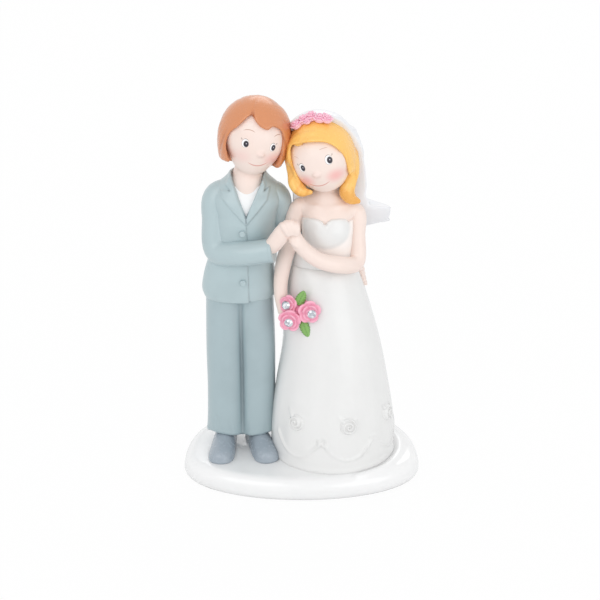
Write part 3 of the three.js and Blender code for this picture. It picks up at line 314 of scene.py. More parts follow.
def wrapped(grid):
    """Points, in cells, and quads of the skin where the grid passes zero."""
    inside = grid < 0
    counts = np.array(grid.shape) - 1
    total = sum(inside[i:i + counts[0], j:j + counts[1], k:k + counts[2]].astype(np.int8)
                for i, j, k in CORNERS)
    cells = np.argwhere((total > 0) & (total < 8))
    numbers = np.full(counts, -1)
    numbers[tuple(cells.T)] = np.arange(len(cells))
    points = np.zeros((len(cells), 3))
    hits = np.zeros(len(cells))
    for start in CORNERS:
        for axis in range(3):
            if start[axis]:
                continue
            end = start + np.eye(3, dtype=int)[axis]
            first = grid[tuple((cells + start).T)]
            last = grid[tuple((cells + end).T)]
            hit = (first < 0) != (last < 0)
            share = first[hit] / (first[hit] - last[hit])
            points[hit] += start + share[:, None] * (end - start)
            hits[hit] += 1
    points = cells + points / hits[:, None]
    quads = []
    for axis in range(3):
        side, up = (axis + 1) % 3, (axis + 2) % 3
        reach = [slice(None)] * 3
        reach[axis] = slice(0, counts[axis])
        after = [slice(None)] * 3
        after[axis] = slice(1, counts[axis] + 1)
        here = inside[tuple(reach)]
        edges = np.argwhere(here != inside[tuple(after)])
        edges = edges[(edges[:, side] > 0) & (edges[:, up] > 0)
                      & (edges[:, side] < counts[side]) & (edges[:, up] < counts[up])]
        back = np.zeros(3, int)
        rounds = []
        for s, u in ((1, 1), (0, 1), (0, 0), (1, 0)):
            back[:] = 0
            back[side] = s
            back[up] = u
            rounds.append(numbers[tuple((edges - back).T)])
        faces = np.stack(rounds, 1)
        flip = ~here[tuple(edges.T)]
        faces[flip] = faces[flip][:, ::-1]
        quads.append(faces)
    return points, np.concatenate(quads)


def slope_of(form, points, reach=0.04):
    """Which way, and how steeply, the form grows at each point."""
    total = np.zeros_like(points)
    for corner in ((1, -1, -1), (-1, -1, 1), (-1, 1, -1), (1, 1, 1)):
        corner = np.array(corner, float)
        total += form(points + corner * reach)[:, None] * corner
    return total / (4 * reach)


def settled(form, points, quads, step, rounds=3):
    """The skin's points spread evenly and drawn onto the form."""
    edges = np.concatenate([quads[:, [0, 1]], quads[:, [1, 2]], quads[:, [2, 3]], quads[:, [3, 0]]])
    counts = np.bincount(edges[:, 0], minlength=len(points))[:, None]
    for turn in range(rounds):
        if turn < rounds - 1:
            mean = np.stack([np.bincount(edges[:, 0], points[edges[:, 1], i], len(points))
                             for i in range(3)], 1) / np.maximum(counts, 1)
            points = points + 0.6 * (mean - points)
        slope = slope_of(form, points)
        shift = form(points)[:, None] * slope / ((slope ** 2).sum(1)[:, None] + 0.05)
        size = np.linalg.norm(shift, axis=1)[:, None]
        points = points - shift * np.minimum(1, 0.8 * step / np.maximum(size, 1e-9))
    return points


def mesh_from(name, points, faces):
    """A smooth mesh, in metres, from points in millimetres."""
    mesh = bpy.data.meshes.new(name)
    faces = np.asarray(faces)
    mesh.vertices.add(len(points))
    mesh.vertices.foreach_set("co", (np.asarray(points) * MM).ravel())
    mesh.loops.add(faces.size)
    mesh.loops.foreach_set("vertex_index", faces.ravel())
    mesh.polygons.add(len(faces))
    mesh.polygons.foreach_set("loop_start", np.arange(len(faces)) * faces.shape[1])
    mesh.update(calc_edges=True)
    mesh.validate()
    mesh.polygons.foreach_set("use_smooth", np.full(len(mesh.polygons), True))
    return mesh


def added(name, mesh, material):
    """An object of that mesh, with its paint, in the scene."""
    piece = bpy.data.objects.new(name, mesh)
    if material is not None:
        mesh.materials.append(material)
    bpy.context.scene.collection.objects.link(piece)
    return piece


def evened(mesh, slope, hollow):
    """The mesh's normals eased into their neighbours', and its hollows rid of lone specks."""
    edges = np.empty(len(mesh.edges) * 2, np.int32)
    mesh.edges.foreach_get("vertices", edges)
    edges = edges.reshape(-1, 2)
    ends, others = np.concatenate([edges, edges[:, ::-1]]).T
    for _ in range(3):
        slope = slope + np.column_stack([np.bincount(ends, column[others], len(slope))
                                         for column in slope.T])
        slope /= np.linalg.norm(slope, axis=1)[:, None] + 1e-9
    peak = np.zeros(len(hollow))
    np.maximum.at(peak, ends, hollow[others])
    return slope, np.minimum(hollow, peak)


def skinned(name, form, low, high, step, material, marks=None):
    """An object whose skin lies on the form, with hollows and other marks kept for the paint."""
    low = np.asarray(low, float)
    counts = np.ceil((np.asarray(high, float) - low) / step).astype(int) + 1
    points, quads = wrapped(sampled(form, low, counts, step))
    points = settled(form, low + points * step, quads, step)
    mesh = mesh_from(name, points, quads)
    slope = slope_of(form, points, 0.1)
    slope /= np.linalg.norm(slope, axis=1)[:, None] + 1e-9
    lift = form(points + slope * HOLLOW_REACH) - form(points)
    hollow = np.clip(1 - lift / HOLLOW_REACH, 0, 1)
    values = {"hollow": hollow}
    for key, mark in (marks or {}).items():
        values[key] = mark(points)
    if len(mesh.vertices) == len(points):
        slope, values["hollow"] = evened(mesh, slope, hollow)
        mesh.normals_split_custom_set_from_vertices(slope)
        for key, numbers in values.items():
            layer = mesh.attributes.new(key, "FLOAT", "POINT")
            layer.data.foreach_set("value", numbers.astype(np.float32))
    return added(name, mesh, material)


def room(*nodes, grow=1.2):
    """The space round some solid parts, in millimetres."""
    corners = [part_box(node) for node in nodes]
    low = np.min([np.array(pair[0]) for pair in corners], axis=0) / MM - grow
    high = np.max([np.array(pair[1]) for pair in corners], axis=0) / MM + grow
    return low, high


def sculpted(name, form, material, nodes, fine=1.0, marks=None, grow=1.2):
    """A sculpted piece in the place of its solid parts."""
    low, high = room(*nodes, grow=grow)
    step = sizes().grain / MM * fine
    piece = skinned(name, form, low, high, step, material, marks)
    return settle_piece(piece, nodes)


def settle_piece(piece, nodes):
    """Puts a finished piece in the place of its solid parts."""
    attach(piece, "root")
    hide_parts(*nodes)
    return piece


# Paint

def new_group(name, inputs, outputs):
    """A shader group that holds nothing yet but its sockets."""
    tree = bpy.data.node_groups.new(name, "ShaderNodeTree")
    for label, kind, value in inputs:
        socket = tree.interface.new_socket(name=label, in_out="INPUT", socket_type=kind)
        if value is not None:
            socket.default_value = value
    for label, kind in outputs:
        tree.interface.new_socket(name=label, in_out="OUTPUT", socket_type=kind)
    return tree


def add(tree, kind, settings=None, **links):
    """A node with its settings; each link is a value or another node's output."""
    node = tree.nodes.new(kind)
    for key, value in (settings or {}).items():
        setattr(node, key, value)
    for key, value in links.items():
        socket = node.inputs[int(key[1:])] if key[1:].isdigit() else node.inputs[key]
        if isinstance(value, bpy.types.NodeSocket):
            tree.links.new(value, socket)
        else:
            socket.default_value = value
    return node


def maths(tree, operation, first, second=0.0):
    """The result of one step of arithmetic."""
    return add(tree, "ShaderNodeMath", {"operation": operation}, _0=first, _1=second).outputs[0]


def spread(tree, value, low, high, to_low=0.0, to_high=1.0):
    """A value spread in an even S between two ends."""
    return add(tree, "ShaderNodeMapRange", {"interpolation_type": "SMOOTHSTEP"}, _0=value,
               _1=low, _2=high, _3=to_low, _4=to_high).outputs[0]


def mixed(tree, share, first, second):
    """The second colour laid over the first by its share."""
    node = tree.nodes.new("ShaderNodeMix")
    node.data_type = "RGBA"
    for index, value in ((0, share), (6, first), (7, second)):
        if isinstance(value, bpy.types.NodeSocket):
            tree.links.new(value, node.inputs[index])
        else:
            node.inputs[index].default_value = value
    return node.outputs[2]


def brushed_paint():
    """Brushed resin paint: cloudy colour, painted shade in the hollows and a faint skin."""
    name = "Brushed Paint"
    if name in bpy.data.node_groups:
        return bpy.data.node_groups[name]
    tree = new_group(name, [
        ("Colour", "NodeSocketColor", (0.8, 0.8, 0.8, 1)),
        ("Painted Shade Colour", "NodeSocketColor", (0.5, 0.5, 0.5, 1)),
        ("Painted Shade Share", "NodeSocketFloat", 0.8),
        ("Cloud Share", "NodeSocketFloat", 0.3),
        ("Gloss Base", "NodeSocketFloat", 0.3),
    ], [("Colour", "NodeSocketColor"), ("Roughness", "NodeSocketFloat"),
        ("Height", "NodeSocketFloat")])
    given = tree.nodes.new("NodeGroupInput").outputs
    place = add(tree, "ShaderNodeTexCoord").outputs["Object"]
    broad = add(tree, "ShaderNodeTexNoise", Vector=place, Scale=85.0, Detail=2.0).outputs["Fac"]
    fine = add(tree, "ShaderNodeTexNoise", Vector=place, Scale=750.0, Detail=3.0).outputs["Fac"]
    hollow = add(tree, "ShaderNodeAttribute", {"attribute_name": "hollow"}).outputs["Fac"]
    # Painted shade: the darker hollow colour is laid in where the surface is hollow, as the shade
    # in its creases.
    painted_shade = maths(tree, "MULTIPLY", spread(tree, hollow, 0.14, 0.75), given["Painted Shade Share"])
    cloud = maths(tree, "MULTIPLY", spread(tree, broad, 0.52, 0.75), given["Cloud Share"])
    soft = maths(tree, "MULTIPLY", cloud, 0.35)
    colour = mixed(tree, maths(tree, "MAXIMUM", painted_shade, soft), given["Colour"],
                   given["Painted Shade Colour"])
    light = maths(tree, "MULTIPLY", spread(tree, fine, 0.3, 0.7, 0.997, 1.003),
                  spread(tree, broad, 0.25, 0.6, 1.012, 0.996))
    scaled = add(tree, "ShaderNodeVectorMath", {"operation": "SCALE"}, _0=colour, Scale=light)
    rough = maths(tree, "ADD", given["Gloss Base"], spread(tree, fine, 0.3, 0.7, -0.01, 0.02))
    rough = maths(tree, "ADD", rough, maths(tree, "MULTIPLY", painted_shade, 0.12))
    height = maths(tree, "ADD", maths(tree, "MULTIPLY", fine, 0.35),
                   maths(tree, "MULTIPLY", broad, 0.65))
    result = tree.nodes.new("NodeGroupOutput").inputs
    tree.links.new(scaled.outputs[0], result["Colour"])
    tree.links.new(rough, result["Roughness"])
    tree.links.new(height, result["Height"])
    return tree


def spot_axes(tree, given):
    """Across and up from a mark's centre, turned with it, and 1 on the front of the head."""
    moved = add(tree, "ShaderNodeVectorMath", {"operation": "SUBTRACT"}, _0=given["Point"],
                _1=given["Centre"]).outputs[0]
    turned = add(tree, "ShaderNodeVectorRotate", {"rotation_type": "Y_AXIS"}, Vector=moved,
                 Angle=given["Turn"]).outputs[0]
    parts = add(tree, "ShaderNodeSeparateXYZ", _0=turned).outputs
    depth = add(tree, "ShaderNodeSeparateXYZ", _0=given["Point"]).outputs["Y"]
    return parts["X"], parts["Z"], spread(tree, depth, -1.0, -3.0)


def painted_spot():
    """An oval of paint on the front of a head."""
    name = "Painted Spot"
    if name in bpy.data.node_groups:
        return bpy.data.node_groups[name]
    tree = new_group(name, [
        ("Point", "NodeSocketVector", None), ("Centre", "NodeSocketVector", None),
        ("Width", "NodeSocketFloat", 1.0), ("Height", "NodeSocketFloat", 1.0),
        ("Turn", "NodeSocketFloat", 0.0), ("Edge", "NodeSocketFloat", 0.1),
    ], [("Mask", "NodeSocketFloat")])
    given = tree.nodes.new("NodeGroupInput").outputs
    across, up, front = spot_axes(tree, given)
    across = maths(tree, "DIVIDE", across, given["Width"])
    up = maths(tree, "DIVIDE", up, given["Height"])
    reach = maths(tree, "SQRT", maths(tree, "ADD", maths(tree, "MULTIPLY", across, across),
                                      maths(tree, "MULTIPLY", up, up)))
    low = maths(tree, "SUBTRACT", 1.0, given["Edge"])
    high = maths(tree, "ADD", 1.0, given["Edge"])
    mask = maths(tree, "SUBTRACT", 1.0, spread(tree, reach, low, high))
    result = tree.nodes.new("NodeGroupOutput").inputs
    tree.links.new(maths(tree, "MULTIPLY", mask, front), result["Mask"])
    return tree


def painted_stroke():
    """A bowed brush line on the front of a head, thin at its ends."""
    name = "Painted Stroke"
    if name in bpy.data.node_groups:
        return bpy.data.node_groups[name]
    tree = new_group(name, [
        ("Point", "NodeSocketVector", None), ("Centre", "NodeSocketVector", None),
        ("Half Length", "NodeSocketFloat", 1.0), ("Bow", "NodeSocketFloat", 0.3),
        ("Turn", "NodeSocketFloat", 0.0), ("Thickness", "NodeSocketFloat", 0.12),
    ], [("Mask", "NodeSocketFloat")])
    given = tree.nodes.new("NodeGroupInput").outputs
    across, up, front = spot_axes(tree, given)
    share = maths(tree, "DIVIDE", across, given["Half Length"])
    square = maths(tree, "MULTIPLY", share, share)
    gap = maths(tree, "ABSOLUTE", maths(tree, "SUBTRACT", up,
                                        maths(tree, "MULTIPLY", square, given["Bow"])))
    taper = maths(tree, "SUBTRACT", 1.0, maths(tree, "MULTIPLY", square, square))
    wide = maths(tree, "MULTIPLY", maths(tree, "MAXIMUM", taper, 0.0), given["Thickness"])
    mask = maths(tree, "SUBTRACT", 1.0,
                 spread(tree, gap, maths(tree, "MULTIPLY", wide, 0.4),
                        maths(tree, "ADD", maths(tree, "MULTIPLY", wide, 1.3), 0.0001)))
    mask = maths(tree, "MULTIPLY", mask, maths(tree, "LESS_THAN", square, 1.0))
    result = tree.nodes.new("NodeGroupOutput").inputs
    tree.links.new(maths(tree, "MULTIPLY", mask, front), result["Mask"])
    return tree


def opaque(colour):
    """A colour with full cover, as a colour socket holds it."""
    return (*colour, 1.0)


def start_paint(name, colour, hollow, gloss=0.3, cloud=0.3, share=0.8, coat=0.25, bump=0.02):
    """A painted material: its tree, the shader and the paint's colour output."""
    material = bpy.data.materials.new(name)
    material.use_nodes = True
    tree = material.node_tree
    shader = tree.nodes["Principled BSDF"]
    group = tree.nodes.new("ShaderNodeGroup")
    group.node_tree = brushed_paint()
    # The hollow colour is painted shade, which the group lays into the creases.
    for key, value in (("Colour", opaque(colour)), ("Painted Shade Colour", opaque(hollow)),
                       ("Painted Shade Share", share), ("Cloud Share", cloud), ("Gloss Base", gloss)):
        group.inputs[key].default_value = value
    tree.links.new(group.outputs["Roughness"], shader.inputs["Roughness"])
    relief = add(tree, "ShaderNodeBump", Strength=bump, Distance=0.0004,
                 Height=group.outputs["Height"])
    tree.links.new(relief.outputs[0], shader.inputs["Normal"])
    shader.inputs["Coat Weight"].default_value = coat
    shader.inputs["Coat Roughness"].default_value = 0.12
    tree.links.new(group.outputs["Colour"], shader.inputs["Base Color"])
    return material, tree, shader, group.outputs["Colour"]


def paint(name, colour, hollow, **finish):
    """A painted material, made once and then found by its name."""
    if name in bpy.data.materials:
        return bpy.data.materials[name]
    return start_paint(name, colour, hollow, **finish)[0]


def hair_paint(name, colour, hollow):
    """Hair paint: painted shade between the strands, laid along the grooves that the strand value
    marks.
    """
    if name in bpy.data.materials:
        return bpy.data.materials[name]
    material, tree, shader, under = start_paint(name, colour, hollow, gloss=0.26, cloud=0.5,
                                                coat=0.35)
    # Painted shade: the hollow colour is laid along the strand grooves.
    strand = add(tree, "ShaderNodeAttribute", {"attribute_name": "strand"}).outputs["Fac"]
    strand_shade = mixed(tree, spread(tree, strand, 0.1, 1.0, 0.0, 0.55), under, opaque(hollow))
    tree.links.new(strand_shade, shader.inputs["Base Color"])
    return material


EYE_EDGE = tone(150, 136, 136)
EYE_WHITE = tone(252, 250, 250)
EYE_MIDDLE = tone(104, 98, 112)
EYE_GLINT = tone(225, 225, 232)
EYE_LID = tone(120, 104, 100)
EYE_LASH = tone(110, 92, 88)


class Face:
    """The marks painted on one head, in the head's own frame, in millimetres."""

    def __init__(self, name, head):
        self.iris = colours().iris
        self.material, self.tree, self.shader, self.top = start_paint(
            name, colours().skin, colours().skin_painted_shade, gloss=0.34, share=0.35, coat=0.15)
        place = add(self.tree, "ShaderNodeTexCoord").outputs["Object"]
        where = add(self.tree, "ShaderNodeMapping", {"vector_type": "TEXTURE"}, Vector=place)
        where.inputs["Location"].default_value = head.translation * MM
        where.inputs["Rotation"].default_value = head.to_3x3().to_euler("XYZ")
        where.inputs["Scale"].default_value = (MM, MM, MM)
        self.point = where.outputs[0]

    def mark(self, tree_of_mark, colour, strength, x, z, **values):
        """Lays a colour over the paint where the mask of a mark shows it."""
        group = self.tree.nodes.new("ShaderNodeGroup")
        group.node_tree = tree_of_mark
        self.tree.links.new(self.point, group.inputs["Point"])
        group.inputs["Centre"].default_value = (x, 0, z)
        for key, value in values.items():
            group.inputs[key.replace("_", " ")].default_value = value
        share = maths(self.tree, "MULTIPLY", group.outputs["Mask"], strength)
        self.top = mixed(self.tree, share, self.top, opaque(colour))

    def spot(self, colour, strength, x, z, wide, high, turn=0.0, edge=0.1):
        """An oval with a soft edge."""
        self.mark(painted_spot(), colour, strength, x, z, Width=wide, Height=high, Turn=turn,
                  Edge=edge)

    def stroke(self, colour, strength, x, z, half, bow, turn=0.0, thick=0.14):
        """A bowed line that thins towards its ends."""
        self.mark(painted_stroke(), colour, strength, x, z, Half_Length=half, Bow=bow, Turn=turn,
                  Thickness=thick)

    def eye(self, x, z, side, size=1.0):
        """A dark oval eye on a white one, with its outline, glint and lashes."""
        white_x, white_z = x - 0.26 * size, z + 0.16 * size
        self.spot(EYE_EDGE, 0.6, white_x, white_z, 1.1 * size, 1.5 * size, edge=0.08)
        self.spot(EYE_WHITE, 1.0, white_x, white_z, 1.0 * size, 1.39 * size, edge=0.07)
        self.spot(self.iris, 1.0, x, z, 0.76 * size, 1.05 * size, edge=0.1)
        self.spot(EYE_MIDDLE, 0.8, x + 0.08, z + 0.02, 0.24 * size, 0.3 * size, edge=0.4)
        self.spot(EYE_GLINT, 1.0, x + 0.04, z + 0.16 * size, 0.12 * size, 0.14 * size,
                  edge=0.25)
        self.stroke(EYE_LID, 0.7, white_x, white_z + 1.48 * size, 0.85 * size,
                    -0.55 * size, 0.0, 0.1)
        for lift, reach in ((1.5, 0.5), (1.15, 0.62)):
            self.stroke(EYE_LASH, 0.7, white_x + side * 1.25 * size,
                        white_z + lift * size * 0.86, 0.3, 0.05, side * reach, 0.08)

    def finished(self):
        """The head's material with all of its marks."""
        self.tree.links.new(self.top, self.shader.inputs["Base Color"])
        return self.material


# Base, shoes and suit

BASE_TOP = 8.0
BASE_MIDDLE = -8.7     # where the base is widest, along y
BASE_HALF = 38.0
BASE_FRONT = 18.8
BASE_BACK = 36.2
BASE_EDGE = 3.6        # radius of its rounded edge
SUIT_HEAD = Matrix.Translation((-13.9, -1.5, 112.7)) @ Matrix.Rotation(math.radians(11), 4, "Y") \
    @ Matrix.Rotation(math.radians(13), 4, "Z")
SUIT_R = 10.0
BRIDE_HEAD = Matrix.Translation((5.82, -1.59, 106.1)) \
    @ Matrix.Rotation(math.radians(-18), 4, "Y") @ Matrix.Rotation(math.radians(-9), 4, "Z")
BRIDE_R = 9.9
CHEST_X = -16.4
JACKET = [(-19.3, -0.4, 60.0, 10.6, 7.95, 2.3), (-19.3, -0.4, 62.93, 11.6, 8.37, 2.3),
          (-19.3, -0.4, 67.58, 11.14, 8.22, 2.3), (-18.72, -0.4, 74.57, 9.8, 7.58, 2.3),
          (-17.85, -0.4, 81.55, 9.51, 7.7, 2.2), (-17.13, -0.4, 87.76, 9.8, 7.9, 2.2),
          (-16.69, 0.07, 93.19, 10.78, 7.19, 2.2), (-16.4, 0.39, 96.68, 9.21, 5.69, 2),
          (-16.4, 0.63, 99.4, 5.5, 5.11, 2)]
NECKLINE = [(-16.8, 88.0), (-20.9, 98.4), (-22.4, 104), (-10.4, 104), (-11.9, 98.4)]
LAPEL_RIGHT = [(-16.8, 85.8), (-24.0, 93.4), (-24.8, 95.9), (-21.7, 95.9), (-23.2, 97.3),
               (-21.4, 101.4), (-20.9, 98.4), (-16.8, 88.0)]
LAPEL_LEFT = [(-16.8, 85.8), (-10.3, 93.4), (-9.4, 97.1), (-11.3, 95.8), (-10.8, 97.6),
              (-12.4, 101.4), (-12.7, 98.4), (-16.8, 88.0)]
SKIRT_RINGS = [(0, 0.955), (0.03, 0.992), (0.09, 1), (0.22, 0.97), (0.4, 0.885), (0.58, 0.785)]
SKIRT = [(10.1 - u, -3.1 + 2.1 * u, 8 + 63 * u, 19.9 * w, 19.9 * w * (0.98 - 0.07 * u))
         for u, w in SKIRT_RINGS]
SKIRT += [(8.1, -1.0, 57.14, 13.6, 12.43), (7.2, -0.8, 65.33, 11.8, 10.2),
          (6.8, -0.6, 69.6, 10.6, 8.4), (6.7, -0.6, 71.6, 9.9, 7.0)]
BODICE = [(6.75, -0.6, 71.0, 10.1, 7.35), (7.0, -0.9, 75.68, 9.1, 6.9),
          (7.9, -1.49, 79.58, 8.0, 7.1, 2.1), (8, -1.63, 83.17, 8.0, 7.35, 2.2),
          (8, -1.42, 87.2, 7.8, 6.5, 2.1)]
CHEST = [(8, -0.6, 79.5, 5.7, 5.1), (8, -0.8, 84.25, 6.6, 6.2), (8, -1.0, 87.19, 8.0, 6.1),
         (7.9, -0.7, 89.2, 7.9, 5.3), (7.8, -0.2, 90.9, 7.0, 4.6), (7.7, 0.2, 92.6, 5.6, 4.0),
         (7.5, 0.5, 94.2, 3.9, 3.5), (7.2, 0.9, 97.6, 3.3, 3.3)]
BOUQUET = np.array([-1.7, -10.67, 58.8])
ROSE_FACES = {"lower": (-0.2, -1, 0), "outer": (0.15, -1, 0.1), "upper": (-0.4, -0.9, 0.25)}


def on_skirt(angle, height, out=0.0):
    """A point on the skirt at an angle from the front and a height, moved out from it."""
    knots = [row[2] for row in SKIRT]
    x, y, wide, deep = (float(eased(np.array([height]), knots, [row[i] for row in SKIRT])[0])
                        for i in (0, 1, 3, 4))
    turn = math.radians(angle)
    return (x + (wide + out) * math.sin(turn), y - (deep + out) * math.cos(turn), height)


def base_form(p):
    """The rounded oval of the base."""
    front = p[:, 1] < BASE_MIDDLE
    depth = np.where(front, BASE_FRONT, BASE_BACK)
    bend = np.where(front, 2.0, 2.3)
    across = np.abs(p[:, 0]) / BASE_HALF
    along = np.abs(p[:, 1] - BASE_MIDDLE) / depth
    reach = (across ** bend + along ** bend) ** (1 / bend) + 1e-9
    steep = np.sqrt((across / reach) ** (2 * bend - 2) / BASE_HALF ** 2
                    + (along / reach) ** (2 * bend - 2) / depth ** 2)
    side = (reach - 1) / (steep + 1e-9) + BASE_EDGE
    level = np.abs(p[:, 2] - BASE_TOP / 2) - BASE_TOP / 2 + BASE_EDGE
    return (np.minimum(np.maximum(side, level), 0)
            + np.hypot(np.maximum(side, 0), np.maximum(level, 0)) - BASE_EDGE)


def shoe_form(x, turn):
    """A low round-toed shoe along its own y axis, toe to the front."""
    rows = [(-0.285, 0.06, 0.09), (-0.25, 0.62, 0.85), (-0.1, 0.82, 1.0), (0.12, 0.9, 1.0),
            (0.36, 0.98, 0.86), (0.58, 1.0, 0.7), (0.74, 0.9, 0.58), (0.83, 0.62, 0.42),
            (0.872, 0.06, 0.04)]
    last = stack([(0, 0, along * 18.6, wide * 4.2, high * 6.4) for along, wide, high in rows])
    place = Matrix.Translation((x, -0.4, BASE_TOP)) @ Matrix.Rotation(math.radians(turn), 4, "Z")

    def form(p):
        body = last(np.stack([p[:, 0], p[:, 2], -p[:, 1]], 1))
        welt = np.exp(-((p[:, 2] - 1.25) / 0.2) ** 2)
        return keep(body + 0.16 * welt, -p[:, 2] + 0.02, 0.3)
    return within(place, form)


def leg_form(x, lean, share):
    """A straight trouser leg whose hem, at the front, rises away from the other leg."""
    rows = [(12.2, 6.25, 6.6), (13.4, 6.3, 6.7), (15.5, 6.15, 6.6), (27.56, 5.75, 6.0),
            (41.7, 5.8, 6.17), (62.0, 6.02, 6.93)]
    form = stack([(x + lean * (level > 60), -0.4, level, wide * share, deep)
                  for level, wide, deep in rows], 2.3)

    def cut(p):
        hem = 12.4 + 0.19 * np.abs(p[:, 0] + 19.0) * rise(-p[:, 1], 0.5, 6.5)
        body = form(p) - 0.12 * np.exp(-((p[:, 2] - hem - 0.9) / 0.35) ** 2)
        return keep(body, np.maximum(hem - p[:, 2], p[:, 2] - 61.5), 0.5)
    return cut


def jacket_body(p):
    """The jacket with its collar, before its front is dressed."""
    body = keep(stack(JACKET)(p), between(60.6, 99.6)(p), 0.6)
    collar = stack([(-16.4, 0.38, 94.4, 7.7, 6.1), (-16.4, 0.38, 97.4, 6.7, 5.75),
                    (-16.4, 0.38, 101.2, 5.3, 5.35)])(p)
    collar = keep(collar, between(94.5, 100.6)(p), 0.5)
    return blend(body, collar, 1.2)


def jacket_form(p):
    """The jacket with its lapels, the lapped edge of its front and the open neck."""
    body = jacket_body(p)
    front = rise(-p[:, 1], 1.0, 2.6)
    for corners in (LAPEL_RIGHT, LAPEL_LEFT):
        gap = outline(corners, p[:, 0], p[:, 2])
        body = body - sizes().lapel_relief / MM * rise(-gap, -0.12, 0.3) * front
    edge = p[:, 0] - (-16.8 + 0.022 * (86.0 - p[:, 2]))
    below = rise(87.6 - p[:, 2], 0.0, 2.6) * front
    lap = sizes().seam_depth / MM * rise(-edge, -0.1, 0.14)
    groove = 0.12 * np.exp(-((edge - 0.15) / 0.16) ** 2)
    body = body - lap * below + groove * below
    neck = outline(NECKLINE, p[:, 0], p[:, 2])
    hole = np.maximum(neck + 0.15, p[:, 1] - 0.4)
    hole = np.minimum(hole, np.hypot(p[:, 0] - CHEST_X, p[:, 1] - 0.4) - 4.5
                      + np.maximum(0, 96.0 - p[:, 2]) * 3)
    shallow = keep(hole, -(body + 2.4), 0.2)
    deep = np.maximum(hole, 96.3 - p[:, 2])
    return carve(carve(body, shallow, 0.25), deep, 0.3)


def shirt_form(p):
    """The shirt under the neckline, round at the neck."""
    neck = outline(NECKLINE, p[:, 0], p[:, 2])
    body = jacket_body(p) + 1.0
    skin = np.maximum(body, -(body + 1.3))
    skin = keep(skin, np.maximum(neck - 0.5, p[:, 1]), 0.2)
    round_neck = 97.4 - 1.1 * (1 - ((p[:, 0] - CHEST_X) / 4.6) ** 2)
    return keep(skin, p[:, 2] - round_neck, 0.3)


SLEEVE_RIGHT = [(-21.5, 0.4, 95.0), (-25.4, 0.4, 92.6), (-26.2, -1.5, 85.2), (-25.4, -4.5, 76.5),
                (-19.05, -8.9, 77.1), (-8.5, -11.1, 79.0)]
SLEEVE_LEFT = [(-11.6, 0.5, 95.0), (-8.1, 0.61, 92.6), (-6.99, 2.58, 86.17), (-2.19, 9.22, 78.19),
               (5.35, 11.36, 71.47), (12.84, 10.01, 68.19)]


def sleeve_form(path, radii):
    """A sleeve with a raised band round the cuff that the hand comes out of."""
    tube = limb(path, radii, 8)
    end, before = np.array(path[-1]), np.array(path[-2])
    run = (end - before) / np.linalg.norm(end - before)

    def form(p):
        along = (p - end) @ run
        return keep(tube(p) - 0.22 * rise(along, -0.9, -0.5), along, 0.35)
    return form


def hand_form(palm, palm_widths, fingers, soft=0.45):
    """A hand: a palm with its fingers laid against each other."""
    body = limb(palm, palm_widths)
    parts = [limb(points, widths, 5) for points, widths in fingers]

    def form(p):
        total = body(p)
        for part in parts:
            total = blend(total, part(p), soft)
        return total
    return form


# Heads and hair

def on_ball(radius, x, z, out=0.0):
    """A point on the front of a head, moved out from it."""
    return (x, -math.sqrt(max(radius ** 2 - x * x - z * z, 0.01)) - out, z)


def head_form(radius, nose, smile, chin=0.12, jaw=0.07):
    """A doll's head in its own frame: a low chin, a button nose and the groove of a smile."""
    bump = ball(on_ball(radius, *nose, 0.3), (1.05, 0.95, 0.85))
    groove = limb([on_ball(radius, x, z, 0.1) for x, z in smile],
                  [0.1, 0.26, 0.28, 0.26, 0.1])

    def form(p):
        low = np.clip(-p[:, 2] / radius, 0, 1)
        q = np.stack([p[:, 0] / (1 - jaw * low), p[:, 1] + 0.09 * radius * low,
                      p[:, 2] / (1 + chin * low ** 2)], 1)
        body = np.linalg.norm(q, axis=1) - radius
        return carve(blend(body, bump(p), 0.9), groove(p), 0.3)
    return form


def strand_mark(pole, pattern):
    """How deep in a groove between strands a point lies, the strands running from the pole."""
    pole = np.array(pole, float)
    pole /= np.linalg.norm(pole)
    side = np.cross(pole, (0, 1, 0))
    side /= np.linalg.norm(side)
    up = np.cross(side, pole)

    def mark(p):
        unit = p / (np.linalg.norm(p, axis=1)[:, None] + 1e-9)
        angle = np.arctan2(unit @ side, unit @ up)
        away = np.arccos(np.clip(unit @ pole, -1, 1))
        total = np.zeros(len(p))
        for count, shift, weight in pattern:
            wave = 0.5 + 0.5 * np.sin(count * angle + 1.4 * np.sin(3 * angle + shift)
                                      + 0.5 * np.sin(3 * away + shift))
            total += weight * wave ** 5
        return total * rise(away, 0.35, 1.3)
    return mark


BOB = [(0.55, -10.6, 8.5, 8.4, 2.2), (0.55, -8.5, 9.5, 9.4, 2.2), (0.5, -6.4, 10.2, 10.1, 2.2),
       (0.44, -3.6, 10.8, 10.8, 2.1), (0.33, 0.0, 11.1, 11.1), (0.33, 4.66, 10.1, 10.21),
       (0.33, 8.21, 7.66, 7.88), (0.33, 10.77, 3.6, 3.8), (0.33, 11.5, 0.1, 0.1)]
BOB_WINDOW = [(-3.9, 8.0), (-2.3, 5.5), (0.2, 4.3), (1.6, 4.4), (2.4, 5.5), (5.2, 4.6),
              (6.3, 3.0), (6.9, -1.0), (7.1, -5.0), (6.5, -8.0), (6.2, -13), (-6.6, -13),
              (-7.0, -8.4), (-8.5, -5.8), (-9.4, -2.5), (-9.0, 1.1), (-6.6, 4.6)]
BROWN_STRANDS = strand_mark((-0.42, -0.5, 0.76), [(9, 0.4, 0.55), (23, 1.7, 0.4), (47, 3.1, 0.2)])


